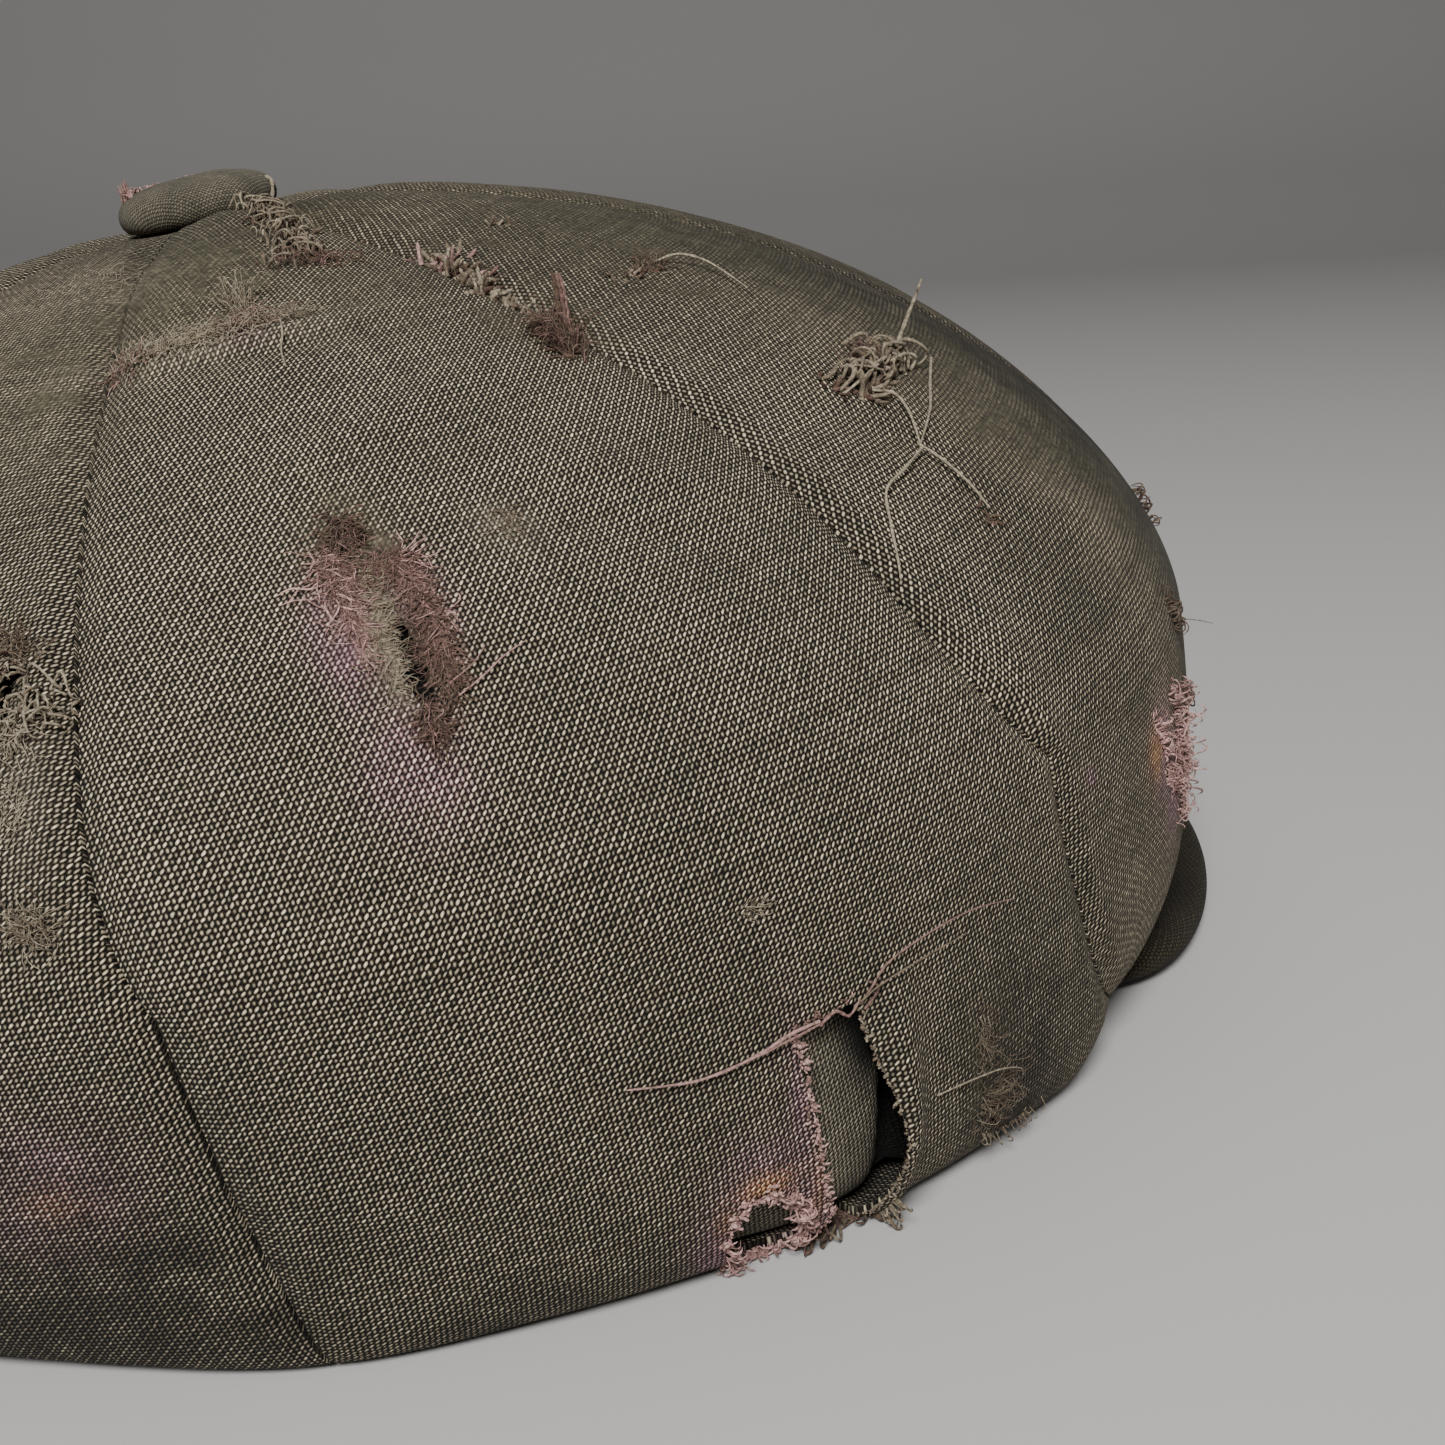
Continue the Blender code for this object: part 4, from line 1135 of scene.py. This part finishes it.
def button_frays(place, yarn):
    """Worn-through arc of the button's rim and one lifted yarn end."""
    frays = Yarns("frays_button", MAIN)

    def crest(a, r, h):
        return moved(place, np.array([r * math.cos(a), r * math.sin(a), h]))

    for _ in range(90):
        a = RNG.uniform(math.radians(80.0), math.radians(190.0))
        start = crest(a, 0.0090, 0.0030)
        a += RNG.normal(0.0, 0.14)
        r = 0.0098 + RNG.uniform(-0.0012, 0.0008)
        end = crest(a, r, 0.0034 + RNG.uniform(0.0, 0.0010))
        middle = 0.5 * (start + end) + np.array([0.0, 0.0, RNG.uniform(0.0002, 0.0008)])
        frays.add(np.array([start, middle, end]), 0.14, RNG.normal(0.86, 0.08))
    tip = crest(math.radians(178.0), 0.0100, 0.0026)
    for _ in range(24):
        lean = RNG.normal(0.0, 0.0004, 3)
        bent = [tip + lean, tip + lean + [0.0, 0.0, 0.0012], tip + lean * 1.5 + [-0.0003, 0.0, 0.0026]]
        frays.add(np.array(bent), 0.14, RNG.normal(0.80, 0.06))
    frays.make(yarn, "button")


def dress(obj, mat):
    obj.data.materials.clear()
    obj.data.materials.append(mat)


def button_strand(yarn):
    """The button's thread keeps its CAD shape and gets the yarn's finish."""
    strand = linked(bpy.data.objects.new("button_strand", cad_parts["button_thread"].data.copy()))
    dress(strand, yarn)
    stand_in(strand, "strand", "button_thread")


def yarn_from_button(yarn):
    """The loose yarn that hangs from the button's side down on to the crown."""
    upper = moved(button_frame(), np.array([(0.0096, -0.0030, 0.0050), (0.0108, -0.0052, 0.0042),
                                            (0.0100, -0.0080, 0.0022)]))
    path = smooth_path([*upper, *places_on_cloth(MAIN, [(-74, 23, 1.4), (-79, 27.5, 0.5)])], 12)
    obj = tubes("yarn_from_button", [path], [0.00030], [0.12], yarn, 8)
    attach(obj, "cap")
    return obj


def crown_patch(mat):
    """Round patch under the top that the button's thread is sewn to."""
    place = button_frame() @ Matrix.Translation((0.0, 0.0, -0.0023))
    radius = np.linspace(0.0003, PATCH_RADIUS, 9)[:, None]
    turn = np.linspace(0.0, 2.0 * PI, 37)[None, :]
    flat = np.stack([radius * np.cos(turn), radius * np.sin(turn)], axis=-1)
    points = moved(place, np.concatenate([flat, 0.0 * flat[..., :1]], axis=-1))
    points[:, -1] = points[:, 0]
    obj = grid_object("crown_patch_cloth", points, flat, mat)
    thicken(obj, 0.0009)
    stand_in(obj, "cap", "crown_patch")


def dress_cad_nodes(metal, board):
    """Hard parts keep their CAD shape and get their own finish."""
    for node in ("button_shell", "button_back", "button_shank"):
        dress(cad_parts[node], metal)
    dress(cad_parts["peak_board"], board)


# ---------------------------------------------------------------- stage, light, camera
CAMERA_LENS = 45.1
CAMERA_AZIMUTH = math.radians(-100.6)
CAMERA_REACH = 2.254 * CROWN_RADIUS
CAMERA_HEIGHT = 0.945 * CROWN_RADIUS
CAMERA_HEADING = math.radians(90.0 - 11.0 - 10.6)
CAMERA_DIP = 0.314
CAMERA_ROLL = -0.059


def studio():
    g = Graph("pale_floor")
    g.colour(rgba(0.46, 0.452, 0.44))
    mat = g.finish(0.85)
    mesh = bpy.data.meshes.new("floor")
    rows = [(-2.0, 0.0), (1.2, 0.0), (1.55, 0.05), (1.75, 0.22), (1.82, 0.6), (1.82, 2.4)]
    turn = math.radians(-21.6)
    verts = []
    for forward, up in rows:
        for side in (-3.0, 3.0):
            x = side * math.cos(turn) - forward * math.sin(turn)
            y = side * math.sin(turn) + forward * math.cos(turn)
            verts.append((x, y, up))
    faces = [(2 * i, 2 * i + 1, 2 * i + 3, 2 * i + 2) for i in range(len(rows) - 1)]
    mesh.from_pydata(verts, [], faces)
    for polygon in mesh.polygons:
        polygon.use_smooth = True
    mesh.materials.append(mat)
    linked(bpy.data.objects.new("floor", mesh))


def area_light(name, place, aim, size, power):
    data = bpy.data.lights.new(name, "AREA")
    data.shape = "DISK"
    data.size = size
    data.energy = power
    lamp = bpy.data.objects.new(name, data)
    lamp.location = place
    lamp.rotation_euler = (Vector(aim) - Vector(place)).to_track_quat("-Z", "Y").to_euler()
    linked(lamp)


def lights():
    world = bpy.data.worlds.new("studio")
    world.use_nodes = True
    background = world.node_tree.nodes["Background"]
    background.inputs[0].default_value = rgba(1.0, 0.99, 0.97)
    background.inputs[1].default_value = 0.12
    bpy.context.scene.world = world
    area_light("key", (-0.38, -0.85, 0.85), (0.0, 0.0, 0.06), 0.38, 20.5)
    area_light("fill", (0.9, -0.5, 0.7), (0.0, 0.0, 0.05), 0.9, 1.0)
    area_light("top", (0.0, 0.3, 1.2), (0.0, 0.0, 0.05), 0.9, 2.0)


def camera():
    """Low three-quarter view across the crown, peak to the right."""
    data = bpy.data.cameras.new("view")
    data.lens = CAMERA_LENS
    data.sensor_width = 36.0
    data.clip_start = 0.01
    x, y = math.cos(CAMERA_AZIMUTH), math.sin(CAMERA_AZIMUTH)
    place = Vector((CAMERA_REACH * x, CAMERA_REACH * y, CAMERA_HEIGHT))
    level = math.cos(CAMERA_DIP)
    x, y = math.cos(CAMERA_HEADING) * level, math.sin(CAMERA_HEADING) * level
    ahead = Vector((x, y, -math.sin(CAMERA_DIP)))
    right = ahead.cross(Vector((0.0, 0.0, 1.0))).normalized()
    up = right.cross(ahead)
    side = right * math.cos(CAMERA_ROLL) + up * math.sin(CAMERA_ROLL)
    top = up * math.cos(CAMERA_ROLL) - right * math.sin(CAMERA_ROLL)
    turn = Matrix((side, top, -ahead)).transposed().to_4x4()
    cam = linked(bpy.data.objects.new("view", data))
    cam.matrix_world = Matrix.Translation(place + Vector(SHIFT)) @ turn
    bpy.context.scene.camera = cam


def build():
    cloth, yarn = crown_cloth(), yarn_fibre()
    inner = plain_cloth("lining_cloth", (0.062, 0.052, 0.034), (0.42, 0.37, 0.27), THREAD, -0.16, 0.00030)
    band = plain_cloth("band_cloth", (0.045, 0.036, 0.026), (0.17, 0.14, 0.105))
    brim = plain_cloth("peak_cloth", (0.016, 0.012, 0.006), (0.054, 0.043, 0.023), THREAD, 0.4)
    knob = plain_cloth("button_cloth", (0.085, 0.075, 0.052), (0.200, 0.178, 0.130), 0.00042, 0.9, 0.00010)
    frays = {LEFT: left_frays().make(yarn), MAIN: main_frays().make(yarn), RIGHT: right_frays().make(yarn)}
    for panel in range(-PANELS // 2, PANELS // 2):
        near = panel in frays
        obj, width, area = crown_panel(panel, NEAR_GRID if near else FAR_GRID, cloth)
        pieces = [frays[panel]] if near else []
        if panel == MAIN:
            pieces.append(yarn_from_button(yarn))
        lining_panel(panel, NEAR_LINING_GRID if near else FAR_LINING_GRID, inner)
    oval_strip("headband_cloth", "headband", 0.0, 0.0, 0.0, BAND_HEIGHT, BAND_CLOTH, band)
    sweat = BAND_CLOTH + LINING + 3.0 * CLEAR
    oval_strip("sweatband_leather", "sweatband", sweat, sweat + 0.0012, 0.0008, SWEAT_HEIGHT, LEATHER,
               worn_leather())
    peak(brim)
    place = button_frame() @ Matrix.Translation((0.0, 0.0, BUTTON_LIFT + 0.0018))
    button_cloth(place, knob)
    button_frays(place, yarn)
    button_strand(yarn)
    crown_patch(inner)
    dress_cad_nodes(dull_metal(), board_fibre())
    studio()
    lights()
    camera()


build()
